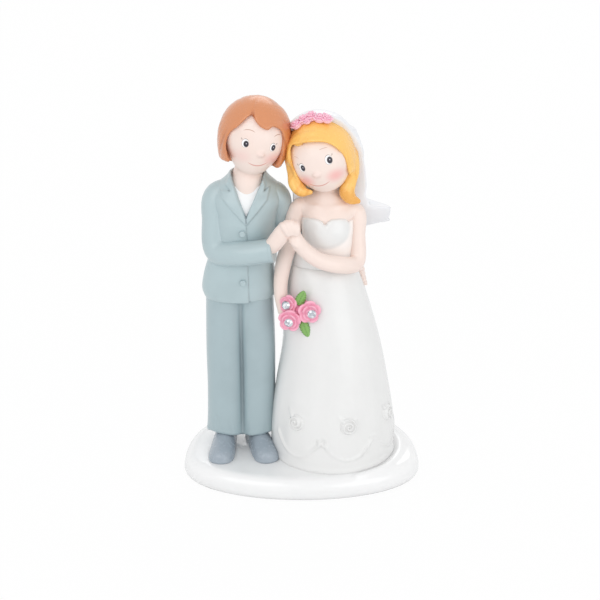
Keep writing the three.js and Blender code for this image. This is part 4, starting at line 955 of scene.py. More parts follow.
def bob_form(p):
    """The brown bob in the head's frame, with its parting and fringe."""
    body = stack([(0.0, *row) for row in BOB])(p)
    body = body + sizes().strand_depth / MM * 2.2 * BROWN_STRANDS(p)
    gap = outline(rounded(BOB_WINDOW, 2), p[:, 0], p[:, 2])
    body = body - 0.35 * rise(-gap, -2.4, -0.3) * rise(-p[:, 1], 2.0, 5.0) * rise(p[:, 2], 1.0, 3.5)
    window = np.maximum(gap, p[:, 1] + 1.3)
    body = carve(body, window, 0.9)
    parting = limb([on_ball(11.2, -3.9, 7.2, 0.25), (-3.2, -5.4, 9.5), (-1.8, -1.5, 11.2)],
                   [0.45, 0.22, 0.05])
    body = carve(body, parting(p), 0.6)
    under = np.maximum(np.linalg.norm(p, axis=1) - 9.6, p[:, 2] + 4.0)
    end = -9.3 - 0.19 * np.clip(p[:, 1], -9, 3)
    return carve(keep(body, end - p[:, 2], 0.8), under, 0.5)


BLONDE = [(1.12, -8.06, 7.9, 8.06), (1.01, -6.72, 9.5, 9.41), (0.56, -3.36, 10.4, 10.64),
          (0.34, 0.56, 10.6, 11.2), (0.22, 4.93, 9.7, 10.19), (0.22, 8.29, 7.45, 7.73),
          (0.22, 10.9, 4.0, 4.26), (0.22, 11.9, 0.1, 0.1)]
BLONDE_WINDOW = [(-6.6, 7.2), (-2.6, 7.3), (1.0, 7.0), (4.9, 5.7), (7.2, 2.7), (8.0, -1.4),
                 (7.3, -5.8), (6.0, -13.9), (-5.4, -13.9), (-6.9, -5.8), (-7.4, -1.5),
                 (-7.6, 2.8)]
LOCK_LEFT = [(-0.95, -0.12, 0.06), (-0.88, -0.28, -0.5), (-0.8, -0.38, -0.84),
             (-0.6, -0.5, -1.0), (-0.32, -0.6, -0.99)]
LOCK_RIGHT = [(0.98, 0.05, 0), (0.97, -0.1, -0.5), (0.88, -0.16, -0.85), (0.8, -0.2, -1.13),
              (0.92, -0.22, -1.32), (1.14, -0.24, -1.4)]
BLONDE_STRANDS = strand_mark((0.55, -0.25, 0.8), [(8, 0.9, 0.55), (21, 2.2, 0.4), (43, 0.3, 0.2)])


def lock_points(rows):
    """A lock's path, in world axes from the middle of the head, as points of the world."""
    return [np.array(BRIDE_HEAD.translation) + BRIDE_R * np.array(row) for row in rows]


def blonde_form(p):
    """The blonde cap, its swept fringe and the two locks, in world axes."""
    q = seen_from(BRIDE_HEAD, p)
    body = stack([(-0.25, *row) for row in BLONDE])(q)
    body = body + sizes().strand_depth / MM * 2.0 * BLONDE_STRANDS(q)
    swoosh = limb([on_ball(11.3, -4.6, 9.2), on_ball(11.1, -1.9, 8.5), on_ball(11.1, 1.4, 7.9),
                   on_ball(11.1, 4.4, 6.9), on_ball(11.1, 6.8, 4.8)], [0.1, 0.3, 0.32, 0.26, 0.08])
    body = carve(body, swoosh(q), 0.7)
    gap = outline(rounded(BLONDE_WINDOW, 2), q[:, 0], q[:, 2])
    body = body - 0.5 * rise(-gap, -3.0, -0.4) * rise(-q[:, 1], 2.0, 5.0) * rise(q[:, 2], 0.0, 3.0)
    body = carve(body, np.maximum(gap, q[:, 1] + 1.0), 0.9)
    under = np.maximum(np.linalg.norm(q, axis=1) - 9.5, q[:, 2] + 4.0)
    body = carve(keep(body, -8.0 - q[:, 2], 0.9), under, 0.5)
    tip = limb([on_ball(10.7, 1.5, 8.6), on_ball(10.7, -2.4, 8.6), on_ball(10.7, -4.6, 7.9),
                on_ball(10.5, -4.3, 7.1), on_ball(10.4, -2.6, 6.9)], [0.9, 1.0, 0.9, 0.7, 0.2])
    body = blend(body, tip(q), 0.6)
    for rows, shares in ((LOCK_LEFT, (0.14, 0.14, 0.17, 0.16, 0.07)),
                         (LOCK_RIGHT, (0.16, 0.2, 0.2, 0.24, 0.18, 0.08))):
        points = lock_points(rows)
        lock = limb(points, BRIDE_R * np.array(shares))(p)
        for shift in (-0.55, 0.5):
            line = [point + np.array((shift, -1.0 - 0.5 * abs(shift), 0)) * size * BRIDE_R
                    for point, size in zip(points, shares)]
            lock = carve(lock, limb(line, BRIDE_R * np.array(shares) * 0.16)(p), 0.35)
        body = blend(body, lock, 1.2)
    return body


# Gown, veil and flowers

ROSE_ANGLES = [-37 + 51.5 * i for i in range(6)]    # round the skirt, in degrees from its front
ROSE_LEVEL = 23.6
SWAG_LEVEL = 18.2
SWAG_REACH = 24.5      # from a swag's middle to its end, in degrees
BOW_LEVEL = 18.3
BOW_SHIFT = 25.7       # from a rose to the bow beside it, in degrees


def skirt_form(p):
    """The bell of the skirt with its hem, swags, bows and leaves in relief."""
    body = keep(stack(SKIRT)(p), between(8.02, 71.2)(p), 0.3)
    middle = np.array([10.3, -2.5])
    angle = np.arctan2(p[:, 0] - middle[0], -(p[:, 1] - middle[1]))
    fall = rise(58.0 - p[:, 2], 0.0, 40.0) * rise(p[:, 2], 9.5, 16.0)
    body = body - 0.16 * fall * np.sin(9 * angle + 0.6) - 0.08 * fall * np.sin(16 * angle + 2.0)
    body = body - 0.95 * np.exp(-((p[:, 2] - 8.2) / 1.3) ** 2)
    radius = sizes().swag_radius / MM
    drop = sizes().swag_drop / MM
    for centre in ROSE_ANGLES:
        line = [on_skirt(centre + SWAG_REACH * t, SWAG_LEVEL - drop * (1 - t * t), 0.05)
                for t in np.linspace(-1, 1, 9)]
        body = blend(body, limb(line, [radius] * 9, 3)(p), 0.4)
        for turn, lift in ((-2.6, 0.5), (2.6, 0.7), (-1.8, -1.3), (2.0, -1.2)):
            ends = [on_skirt(centre + BOW_SHIFT, BOW_LEVEL, -0.05),
                    on_skirt(centre + BOW_SHIFT + turn, BOW_LEVEL + lift, 0)]
            body = blend(body, limb(ends, [0.2, 0.4 if lift > 0 else 0.22], 3)(p), 0.3)
        for turn, lift in ((-7.5, 2.8), (7.5, 1.4)):
            tip = on_skirt(centre + turn * 1.35, ROSE_LEVEL + lift * 1.3, 0.05)
            root = on_skirt(centre + turn * 0.6, ROSE_LEVEL + lift * 0.6, 0.1)
            body = blend(body, limb([root, tip], [0.75, 0.15], 4)(p), 0.3)
    return body


CUP = [(-0.3, 86.0), (1.1, 87.2), (3.9, 87.5), (5.9, 87.1), (7.0, 85.6), (8.1, 87.1), (10.3, 87.7),
       (12.8, 87.3), (14.2, 86.3), (14.4, 83.8), (13.5, 81.0), (11.0, 79.3), (7.6, 78.5),
       (4.5, 78.9), (1.7, 80.2), (0.3, 82.4), (-0.4, 84.8)]


def cup_gap(p):
    """Distance from the edge of the white cups, below 0 on them."""
    return outline(rounded(CUP, 1), p[:, 0], p[:, 2])


def bodice_form(p):
    """The fitted bodice with its sweetheart edge over a narrow waist."""
    body = keep(stack(BODICE)(p), 71.2 - p[:, 2], 0.3)
    back = 87.0 - 0.02 * (p[:, 0] - 8) ** 2
    gap = cup_gap(p)
    front = rise(-p[:, 1], 1.0, 2.5)
    side = 83.0 + 3.0 * rise(np.abs(p[:, 0] - 7.1), 5.0, 7.4)
    edge = np.where(p[:, 1] < -2.0, np.maximum(p[:, 2] - 87.5, np.minimum(gap, p[:, 2] - side)),
                    p[:, 2] - back)
    body = keep(body, edge, 0.5)
    body = body - 0.36 * front * rise(-gap, -0.7, 1.2)
    return body + 0.12 * front * np.exp(-((p[:, 0] - 7.5) / 0.5) ** 2) * rise(p[:, 2], 82.0, 85.5)


def chest_form(p):
    """The bride's chest, shoulders and neck, with collar bones."""
    body = keep(stack(CHEST)(p), between(80.0, 97.2)(p), 0.4)
    for side in (-1, 1):
        bone = limb([(7.7 + side * 1.0, -4.6, 90.0), (7.8 + side * 3.2, -4.3, 90.6),
                     (7.9 + side * 5.4, -3.0, 90.4)], [0.3, 0.4, 0.25])
        body = blend(body, bone(p) + 0.2, 1.4)
    for path in ([(4.2, -0.2, 91.0), (0.1, -0.2, 89.4)], [(12.0, -0.2, 90.2), (15.9, -0.2, 88.3)]):
        body = blend(body, limb(path, [2.2, 2.6])(p), 1.6)
    return body


# Rows of the veil from its hem up. Each gives, as shares, how far down it is from the top, its
# reach to the left and to the right, how far back its front rim stands and how deep it is
# behind that rim. The last value is the thickness of its wall; 60 mm fills it.
VEIL = [(0.995, 0.26, 0.47, 0.76, 0.54, 60.0), (0.965, 0.27, 0.6, 0.7, 0.6, 60.0),
        (0.95, 0.27, 0.675, 0.66, 0.62, 60.0), (0.9, 0.27, 0.693, 0.52, 0.73, 60.0),
        (0.815, 0.27, 0.697, 0.3, 0.91, 60.0), (0.793, 0.27, 0.685, 0.26, 0.94, 60.0),
        (0.776, 0.27, 0.54, 0.24, 0.95, 30.0), (0.735, 0.27, 0.48, 0.24, 0.93, 9.0),
        (0.6, 0.28, 0.458, 0.29, 0.86, 4.5), (0.38, 0.31, 0.42, 0.23, 0.97, 4.0),
        (0.18, 0.26, 0.335, 0.2, 0.88, 3.0)]
VEIL_TOP = 119.1
VEIL_DROP = 38.6
VEIL_X, VEIL_Y = 5.82, -1.59
VEIL_SIDE = 15.5       # half of the widest reach across
VEIL_LEVELS = [VEIL_TOP - row[0] * VEIL_DROP for row in VEIL]
VEIL_RIMS = [VEIL_Y + row[3] * BRIDE_R for row in VEIL]
VEIL_DRAPE = stack([(VEIL_X + (row[2] - row[1]) * VEIL_SIDE, rim, level,
                     (row[2] + row[1]) * VEIL_SIDE, row[4] * BRIDE_R)
                    for row, rim, level in zip(VEIL, VEIL_RIMS, VEIL_LEVELS)])


def veil_form(p):
    """The veil: a cap behind the headdress and a drape that turns out along its hem."""
    fold = np.arctan2(p[:, 0] - 6.5, p[:, 1] - 2)
    depth = rise(112.0 - p[:, 2], 0, 22)
    outer = VEIL_DRAPE(p) - depth * (0.22 * np.sin(7 * fold + 0.5) + 0.1 * np.sin(13 * fold))
    wall = np.interp(p[:, 2], VEIL_LEVELS, [row[5] for row in VEIL])
    rim = np.interp(p[:, 2], VEIL_LEVELS, VEIL_RIMS)
    shell = keep(keep(outer, -(outer + wall), 0.3), rim - p[:, 1], 0.5)
    shell = keep(shell, between(80.6, 113.0)(p), 0.5)
    q = seen_from(BRIDE_HEAD, p)
    cap = stack([(-0.1, *row) for row in BLONDE])(q) - 1.1 - 0.8 * rise(q[:, 2], 3.0, 10.0)
    cap = keep(cap, -(cap + 3.0), 0.2)
    tilt = math.radians(20)
    behind = -((q[:, 1] - 2.9) * math.cos(tilt) + q[:, 2] * math.sin(tilt))
    crown = keep(keep(cap, behind, 0.6), -3.6 - q[:, 2], 1.2)
    return blend(shell, crown, 3.0)


ROSE_R = 3.3           # radius of a rose as its form is written


def rose_form(p, thick=0.42, soft=0.12):
    """A full rose along its own z axis: three rounds of petals about a bud."""
    total = ball((0, 0, -0.2), (2.7, 2.7, 1.7))(p)
    for count, out, tilt, lift, wide, high, start in ((5, 2.2, 62, 0.5, 1.75, 1.5, 0.2),
                                                      (4, 1.4, 42, 1.15, 1.4, 1.3, 0.9),
                                                      (3, 0.72, 20, 1.7, 1.0, 1.15, 0.0)):
        for i in range(count):
            angle = start + i * 2 * math.pi / count
            turn = (Matrix.Rotation(angle, 3, "Z") @ Matrix.Rotation(math.radians(tilt), 3, "Y")
                    @ Matrix.Rotation(0.16, 3, "X"))
            centre = (out * math.cos(angle), out * math.sin(angle), lift)
            petal = ball(centre, (thick, wide, high), turn)(p)
            total = blend(total, petal, soft)
    bud = ball((0, 0, 1.9), (0.5, 0.42, 0.9))(p)
    return keep(blend(total, bud, 0.15), -1.4 - p[:, 2], 0.3)


def full_rose_form(p):
    """A rose of the bouquet, its petals thick and round."""
    return rose_form(p, 0.52, 0.22)


def soft_rose_form(p):
    """A low rose under thick white paint: a boss with one ridge wound into its middle."""
    away = np.hypot(p[:, 0], p[:, 1])
    turn = np.arctan2(p[:, 1], p[:, 0]) / (2 * math.pi)
    boss = ball((0, 0, -0.6), (3.2, 3.2, 2.1))(p)
    ridge = 0.5 + 0.5 * np.cos(2 * math.pi * (away / 1.3 - turn))
    return keep(boss - 0.55 * ridge * rise(3.3 - away, 0, 0.8), -1.4 - p[:, 2], 0.3)


def rose_skin(name, step, material, form):
    """The skin of one rose, in the rose's own frame."""
    return skinned(name, form, (-4.4, -4.4, -2.0), (4.4, 4.4, 3.8), step, material)


def facing(place, direction):
    """A frame at a place whose z axis points that way."""
    turn = Vector(direction).normalized().to_track_quat("Z", "Y")
    return Matrix.Translation(Vector(place)) @ turn.to_matrix().to_4x4()


def moved(piece, place, size=1.0):
    """The piece's mesh, in metres, put in place by a frame in millimetres."""
    shift = Matrix.Translation(Vector(place.translation) * MM) @ place.to_3x3().to_4x4()
    piece.data.transform(shift @ Matrix.Scale(size, 4))
    return piece


def roses_on_points():
    """Geometry nodes: a rose on every point, facing out, each turned by its own amount."""
    name = "Roses On Points"
    if name in bpy.data.node_groups:
        return bpy.data.node_groups[name]
    tree = bpy.data.node_groups.new(name, "GeometryNodeTree")
    for label, kind in (("Geometry", "NodeSocketGeometry"), ("Rose", "NodeSocketObject"),
                        ("Rose Size", "NodeSocketFloat"), ("Turn Seed", "NodeSocketInt"),
                        ("Paint", "NodeSocketMaterial")):
        tree.interface.new_socket(name=label, in_out="INPUT", socket_type=kind)
    tree.interface.new_socket(name="Geometry", in_out="OUTPUT", socket_type="NodeSocketGeometry")
    given = tree.nodes.new("NodeGroupInput").outputs
    rose = add(tree, "GeometryNodeObjectInfo", None, Object=given["Rose"])
    outward = add(tree, "GeometryNodeInputNamedAttribute", {"data_type": "FLOAT_VECTOR"},
                  Name="outward")
    share = add(tree, "GeometryNodeInputNamedAttribute", {"data_type": "FLOAT"}, Name="share")
    face = add(tree, "FunctionNodeAlignRotationToVector", {"axis": "Z"},
               Vector=outward.outputs["Attribute"])
    spin = add(tree, "FunctionNodeRandomValue", {"data_type": "FLOAT"}, Seed=given["Turn Seed"])
    spin.inputs[3].default_value = 6.28
    about = add(tree, "FunctionNodeAxisAngleToRotation", None, Axis=(0, 0, 1),
                Angle=spin.outputs[1])
    turn = add(tree, "FunctionNodeRotateRotation", {"rotation_space": "LOCAL"},
               _0=face.outputs[0], _1=about.outputs[0])
    size = maths(tree, "MULTIPLY", share.outputs["Attribute"], given["Rose Size"])
    placed = add(tree, "GeometryNodeInstanceOnPoints", None, Points=given["Geometry"],
                 Instance=rose.outputs["Geometry"], Rotation=turn.outputs[0], Scale=size)
    real = add(tree, "GeometryNodeRealizeInstances", None, Geometry=placed.outputs[0])
    dressed = add(tree, "GeometryNodeSetMaterial", None, Geometry=real.outputs[0],
                  Material=given["Paint"])
    result = tree.nodes.new("NodeGroupOutput")
    tree.links.new(dressed.outputs[0], result.inputs[0])
    return tree


def rose_row(name, places, outwards, shares, radius, material, nodes, seed, step, form):
    """One mesh of roses standing at the places, made by the geometry nodes."""
    rose = rose_skin(name + "_pattern", step, material, form)
    mesh = bpy.data.meshes.new(name)
    mesh.from_pydata([tuple(np.array(place) * MM) for place in places], [], [])
    mesh.attributes.new("outward", "FLOAT_VECTOR", "POINT").data.foreach_set(
        "vector", np.array(outwards, np.float32).ravel())
    mesh.attributes.new("share", "FLOAT", "POINT").data.foreach_set(
        "value", np.array(shares, np.float32))
    guide = added(name, mesh, None)
    modifier = guide.modifiers.new("Roses", "NODES")
    tree = roses_on_points()
    modifier.node_group = tree
    keys = {item.name: item.identifier for item in tree.interface.items_tree
            if item.in_out == "INPUT"}
    modifier[keys["Rose"]] = rose
    modifier[keys["Rose Size"]] = radius / ROSE_R
    modifier[keys["Turn Seed"]] = seed
    modifier[keys["Paint"]] = material
    bpy.context.view_layer.update()
    seen = guide.evaluated_get(bpy.context.evaluated_depsgraph_get())
    result = bpy.data.meshes.new_from_object(seen)
    guide.modifiers.remove(modifier)
    guide.data = result
    result.polygons.foreach_set("use_smooth", np.full(len(result.polygons), True))
    bpy.data.objects.remove(rose)
    return settle_piece(guide, nodes)


def leaf_form(p):
    """A pointed leaf along its own x axis, with a midrib and side veins."""
    along = p[:, 0] / 2.9
    wide = 1.75 * np.sqrt(np.clip(1 - along ** 2, 0.0004, 1)) * (1 - 0.18 * along)
    body = (np.hypot(p[:, 1] / wide, p[:, 2] / 0.55) - 1) * 0.5
    body = np.maximum(body, np.abs(p[:, 0]) - 2.85)
    vein = np.exp(-(p[:, 1] / 0.16) ** 2)
    side = 0.5 + 0.5 * np.cos(2 * math.pi * (p[:, 0] - 0.9 * np.abs(p[:, 1])) / 1.05)
    return body + 0.16 * vein + 0.12 * side ** 6


def stone_mesh(name, radius, sides):
    """A round cut stone: a table, its crown facets, a girdle and a pavilion to a point."""
    points = []
    for count, reach, height, shift in ((sides, 0.56, 0.42, 0.0), (sides * 2, 0.86, 0.2, 0.0),
                                        (sides * 2, 1.0, 0.03, 0.5), (sides * 2, 1.0, -0.03, 0.5)):
        for i in range(count):
            angle = 2 * math.pi * (i + shift) / count
            points.append((radius * reach * math.cos(angle), radius * reach * math.sin(angle),
                           radius * height))
    points.append((0, 0, -0.62 * radius))
    bm = bmesh.new()
    for point in points:
        bm.verts.new(np.array(point) * MM)
    bmesh.ops.convex_hull(bm, input=bm.verts)
    bmesh.ops.dissolve_limit(bm, angle_limit=0.01, verts=bm.verts, edges=bm.edges)
    bmesh.ops.recalc_face_normals(bm, faces=bm.faces)
    mesh = bpy.data.meshes.new(name)
    bm.to_mesh(mesh)
    bm.free()
    return mesh


def stone_paint():
    """Cut glass over a silvered back: facets that turn the light, with painted sparkle and painted
    dark reflections laid into its colour.
    """
    if "Clear Stone" in bpy.data.materials:
        return bpy.data.materials["Clear Stone"]
    material = bpy.data.materials.new("Clear Stone")
    material.use_nodes = True
    tree = material.node_tree
    shader = tree.nodes["Principled BSDF"]
    place = add(tree, "ShaderNodeTexCoord").outputs["Object"]
    cells = add(tree, "ShaderNodeTexVoronoi", None, Vector=place, Scale=1500.0).outputs["Color"]
    grey = add(tree, "ShaderNodeSeparateXYZ", _0=cells).outputs["X"]
    # Painted reflection: random cells of light and dark grey stand in for the sparkle and the dark
    # facets.
    painted_sparkle = mixed(tree, grey, (0.9, 0.92, 0.96, 1), (0.42, 0.45, 0.5, 1))
    tree.links.new(painted_sparkle, shader.inputs["Base Color"])
    tree.links.new(spread(tree, grey, 0.0, 1.0, 0.03, 0.12), shader.inputs["Roughness"])
    shader.inputs["Metallic"].default_value = 0.85
    shader.inputs["Coat Weight"].default_value = 1.0
    shader.inputs["Coat Roughness"].default_value = 0.02
    return material


# Operators

def suit_paint():
    """The grey-blue of the jacket, its sleeves and its buttons."""
    return paint("Suit Paint", colours().suit, colours().suit_painted_shade, gloss=0.3, coat=0.3)


def skin_paint():
    """The skin of hands, arms and shoulders."""
    return paint("Skin Paint", colours().skin, colours().skin_painted_shade, gloss=0.34, coat=0.15,
                 share=0.75)


def gown_paint():
    """The white of the skirt."""
    return paint("Gown Paint", colours().gown, colours().gown_painted_shade, gloss=0.25, coat=0.25,
                 cloud=0.05, share=0.35, bump=0.01)


def rose_paint():
    """The pink of the bouquet's roses."""
    return paint("Rose Paint", colours().rose, colours().rose_painted_shade, gloss=0.3, share=0.32)


class MakeBase(bpy.types.Operator):
    """Sculpts the glossy oval base"""
    bl_idname = "figurine.base"
    bl_label = "Base"

    def execute(self, context):
        material = paint("Base Paint", colours().base, colours().gown_painted_shade, gloss=0.16,
                         coat=0.6, cloud=0.1)
        train = limb([on_skirt(angle, 8.0, 3.1) for angle in (18, 48, 80, 112, 145, 175)],
                     [0.2, 0.7, 0.9, 0.8, 0.6, 0.2])
        sculpted("Base_oval", lambda p: blend(base_form(p), train(p), 1.6), material, ["base"],
                 1.8)
        return {"FINISHED"}


class MakeShoes(bpy.types.Operator):
    """Sculpts the two shoes"""
    bl_idname = "figurine.shoes"
    bl_label = "Shoes"

    def execute(self, context):
        material = paint("Shoe Paint", colours().shoe, colours().suit_painted_shade, gloss=0.26,
                         cloud=0.1)
        for side, x, turn in (("right", -25.0, -3.75), ("left", -14.4, 15)):
            sculpted(f"Shoe_{side}", shoe_form(x, turn), material, [f"suit_shoe_{side}"])
        return {"FINISHED"}


class MakeTrousers(bpy.types.Operator):
    """Sculpts the trousers with their soft folds"""
    bl_idname = "figurine.trousers"
    bl_label = "Trousers"

    def execute(self, context):
        right, left = leg_form(-24.6, 0.6, 1.0), leg_form(-13.85, -0.7, 0.94)
        folds = [limb(points, [0.1, 0.45, 0.1], 6) for points in (
            [(-20.4, -6.6, 57), (-21.0, -7.2, 51), (-21.2, -6.6, 44)],
            [(-16.9, -7.2, 57), (-17.4, -7.0, 52), (-17.9, -6.2, 47)],
            [(-27.4, -6.4, 20), (-27.6, -7.0, 17), (-26.9, -7.2, 14.4)],
            [(-23.2, -7.4, 19.5), (-22.9, -7.4, 16.4), (-22.5, -7.0, 14.2)],
            [(-11.6, -7.2, 20.5), (-11.2, -7.2, 17), (-11.4, -7.0, 14.2)],
            [(-15.8, -7.0, 19), (-16.1, -7.3, 16.4), (-15.6, -7.4, 14.3)])]

        def form(p):
            body = blend(right(p), left(p), 1.1)
            for fold in folds:
                body = carve(body, fold(p), 0.9)
            return body
        material = paint("Trouser Paint", colours().trousers, colours().suit_painted_shade, gloss=0.3,
                         coat=0.3)
        sculpted("Trousers", form, material, ["suit_trousers"], 1.15)
        return {"FINISHED"}


class MakeJacket(bpy.types.Operator):
    """Sculpts the jacket with its collar, lapels and front edge"""
    bl_idname = "figurine.jacket"
    bl_label = "Jacket"

    def execute(self, context):
        sculpted("Jacket", jacket_form, suit_paint(), ["suit_jacket"], 0.85)
        return {"FINISHED"}


class MakeButtons(bpy.types.Operator):
    """Sets the two buttons on the jacket"""
    bl_idname = "figurine.buttons"
    bl_label = "Buttons"

    def execute(self, context):
        for name in ("upper", "lower"):
            low, high = room(f"jacket_button_{name}", grow=0)
            middle = (low + high) / 2
            place = np.array((middle[0] - 0.4, low[1] - 0.05, middle[2]))

            def form(p):
                off = np.hypot(p[:, 0] - place[0], p[:, 2] - place[2])
                deep = p[:, 1] - place[1]
                disc = keep(off - 0.95, np.abs(deep - 0.35) - 0.62, 0.3)
                dish = np.hypot(off - 0.2, deep + 0.62) - 0.42
                return carve(disc, dish, 0.15)
            sculpted(f"Button_{name}", form, suit_paint(), [f"jacket_button_{name}"],
                     0.35)
        return {"FINISHED"}


class MakeShirt(bpy.types.Operator):
    """Sculpts the white shirt in the neckline"""
    bl_idname = "figurine.shirt"
    bl_label = "Shirt"

    def execute(self, context):
        material = paint("Shirt Paint", colours().shirt, colours().gown_painted_shade, gloss=0.3,
                         cloud=0.1)
        sculpted("Shirt", shirt_form, material, ["suit_shirt"], 0.8, grow=2.6)
        return {"FINISHED"}


class MakeSleeves(bpy.types.Operator):
    """Sculpts the two sleeves with their cuffs"""
    bl_idname = "figurine.sleeves"
    bl_label = "Sleeves"

    def execute(self, context):
        form = sleeve_form(SLEEVE_RIGHT, [3.3, 4.3, 4.4, 4.3, 3.86, 3.6])
        sculpted("Sleeve_right", form, suit_paint(), ["suit_sleeve_right"])
        form = sleeve_form(SLEEVE_LEFT, [3.3, 4.2, 4.03, 3.61, 3.36, 3.1])
        sculpted("Sleeve_left", form, suit_paint(), ["suit_sleeve_left"], 1.2)
        return {"FINISHED"}


class MakeSuitHands(bpy.types.Operator):
    """Sculpts the hands of the figure in the suit"""
    bl_idname = "figurine.suit_hands"
    bl_label = "Suit hands"

    def execute(self, context):
        palm = [(-11.2, -10.3, 79.0), (-9.5, -10.9, 80.0), (-7.0, -12.1, 83.2),
                (-5.0, -13.0, 86.4), (-3.9, -13.3, 87.6)]
        fingers = []
        for i, lift in enumerate((0.0, 0.8, 1.0, 0.4)):
            fingers.append(([(-5.9 + 1.3 * i, -13.0, 87.7 + lift),
                             (-5.4 + 1.25 * i, -14.6, 88.1 + lift * 0.8),
                             (-4.7 + 1.1 * i, -15.3, 86.9 + lift * 0.5),
                             (-4.0 + 0.85 * i, -15.1, 85.5 + lift * 0.4)],
                            [1.0, 1.0, 0.95, 0.75]))
        form = hand_form(palm, [2.1, 2.35, 2.6, 2.3, 1.8], fingers, 0.3)
        sculpted("Hand_right", form, skin_paint(), ["suit_hand_right"], 0.7)
        palm = [(11.6, 10.4, 68.7), (14.6, 9.1, 67.9), (17.2, 7.0, 67.0), (18.2, 4.8, 66.4)]
        fingers = [([(17.6, 5.6, 68.0 - 1.2 * i), (19.0 + 0.2 * i, 3.0, 67.4 - 1.3 * i),
                     (18.6 + 0.45 * i, 0.2, 67.4 - 1.35 * i)], [0.95, 0.9, 0.75])
                   for i in range(4)]
        form = hand_form(palm, [1.9, 2.1, 2.2, 1.7], fingers)
        sculpted("Hand_left", form, skin_paint(), ["suit_hand_left"], 0.8)
        return {"FINISHED"}


class MakeSuitHead(bpy.types.Operator):
    """Sculpts and paints the head of the figure in the suit"""
    bl_idname = "figurine.suit_head"
    bl_label = "Suit head"

    def execute(self, context):
        face = Face("Suit Face", SUIT_HEAD)
        blush = colours().blush
        for x, z, depth in ((-4.8, -5.2, 0.2), (4.5, -4.8, 0.42)):
            face.spot(blush, depth, x, z, 2.2, 1.7, edge=0.95)
        face.spot(blush, 0.08, 0.3, -3.4, 1.4, 1.1, edge=0.9)
        face.eye(-4.4, -0.8, -1, 0.92)
        face.eye(3.86, -0.9, 1, 0.88)
        face.stroke(colours().brow, 0.75, -4.0, 3.45, 1.7, -0.5, 0.05, 0.13)
        face.stroke(colours().brow, 0.75, 4.5, 2.95, 1.1, -0.35, 0.25, 0.13)
        face.stroke(colours().lips, 0.8, 0.5, -7.25, 3.1, 1.1, 0.14, 0.2)
        head = head_form(SUIT_R, (0.29, -3.15), [(-2.7, -5.95), (-1.2, -6.85), (0.7, -7.3),
                                                 (2.2, -7.15), (3.5, -6.7)], 0.21, 0.12)
        neck = limb([(-16.5, 0.0, 93.6), (-16.5, 0.1, 97.4), (-15.8, 0.9, 101.5),
                     (-14.6, 1.6, 106.0)], [5.3, 5.1, 4.2, 3.7])
        sculpted("Head_suit", lambda p: blend(within(SUIT_HEAD, head)(p), neck(p), 1.6),
                 face.finished(), ["suit_head"], 0.8)
        return {"FINISHED"}


class MakeBob(bpy.types.Operator):
    """Sculpts the brown bob"""
    bl_idname = "figurine.bob"
    bl_label = "Brown bob"

    def execute(self, context):
        material = hair_paint("Brown Hair", colours().brown, colours().brown_painted_shade)
        mark = within(SUIT_HEAD, BROWN_STRANDS)
        sculpted("Hair_brown", within(SUIT_HEAD, bob_form), material, ["suit_hair"],
                 0.85, {"strand": mark}, grow=2.8)
        return {"FINISHED"}


class MakeSkirt(bpy.types.Operator):
    """Sculpts the skirt with its swags"""
    bl_idname = "figurine.skirt"
    bl_label = "Skirt"

    def execute(self, context):
        sculpted("Skirt", skirt_form, gown_paint(), ["gown_skirt"], 1.3, grow=3.8)
        return {"FINISHED"}


class MakeSkirtRoses(bpy.types.Operator):
    """Sets the six white roses round the skirt"""
    bl_idname = "figurine.skirt_roses"
    bl_label = "Skirt roses"

    def execute(self, context):
        # Painted shade: a high share of grey in the grooves makes the white roses show.
        material = paint("White Rose Paint", colours().gown, colours().gown_painted_shade, gloss=0.24,
                         coat=0.25, share=0.55, cloud=0.05, bump=0.01)
        places = [on_skirt(angle, ROSE_LEVEL, -0.3) for angle in ROSE_ANGLES]
        outwards = [(math.sin(math.radians(angle)), -math.cos(math.radians(angle)), 0.17)
                    for angle in ROSE_ANGLES]
        rose_row("Skirt_roses", places, outwards, [1.0] * 6, sizes().skirt_rose / MM, material,
                 [f"skirt_rose_{i}" for i in range(1, 7)], 4, 0.22,
                 soft_rose_form)
        return {"FINISHED"}


class MakeBodice(bpy.types.Operator):
    """Sculpts the bodice with its sweetheart edge"""
    bl_idname = "figurine.bodice"
    bl_label = "Bodice"

    def execute(self, context):
        material, tree, shader, white = start_paint(
            "Bodice Paint", colours().gown, colours().gown_painted_shade, gloss=0.22, coat=0.35,
            cloud=0.1, share=0.12)
        # Below the cups the paint turns to a warm white: partly the gown's own tint and partly
        # painted light, as reflected skin tone and a lighter white against the shade under the
        # bust.
        waist_tint_and_light = add(tree, "ShaderNodeAttribute", {"attribute_name": "waist"}).outputs["Fac"]
        tree.links.new(mixed(tree, waist_tint_and_light, white, opaque(colours().waist)),
                       shader.inputs["Base Color"])
        waist = {"waist": lambda p: (rise(cup_gap(p), -0.4, 1.2) * rise(-p[:, 1], 0.0, 3.0)
                                     * rise(p[:, 2], 74.0, 76.5))}
        sculpted("Bodice", bodice_form, material, ["gown_bodice"], 0.8, waist,
                 grow=3.2)
        return {"FINISHED"}


class MakeChest(bpy.types.Operator):
    """Sculpts the shoulders and neck of the bride"""
    bl_idname = "figurine.chest"
    bl_label = "Bride chest"

    def execute(self, context):
        sculpted("Chest", chest_form, skin_paint(), ["bride_chest"], 0.85, grow=3.2)
        return {"FINISHED"}


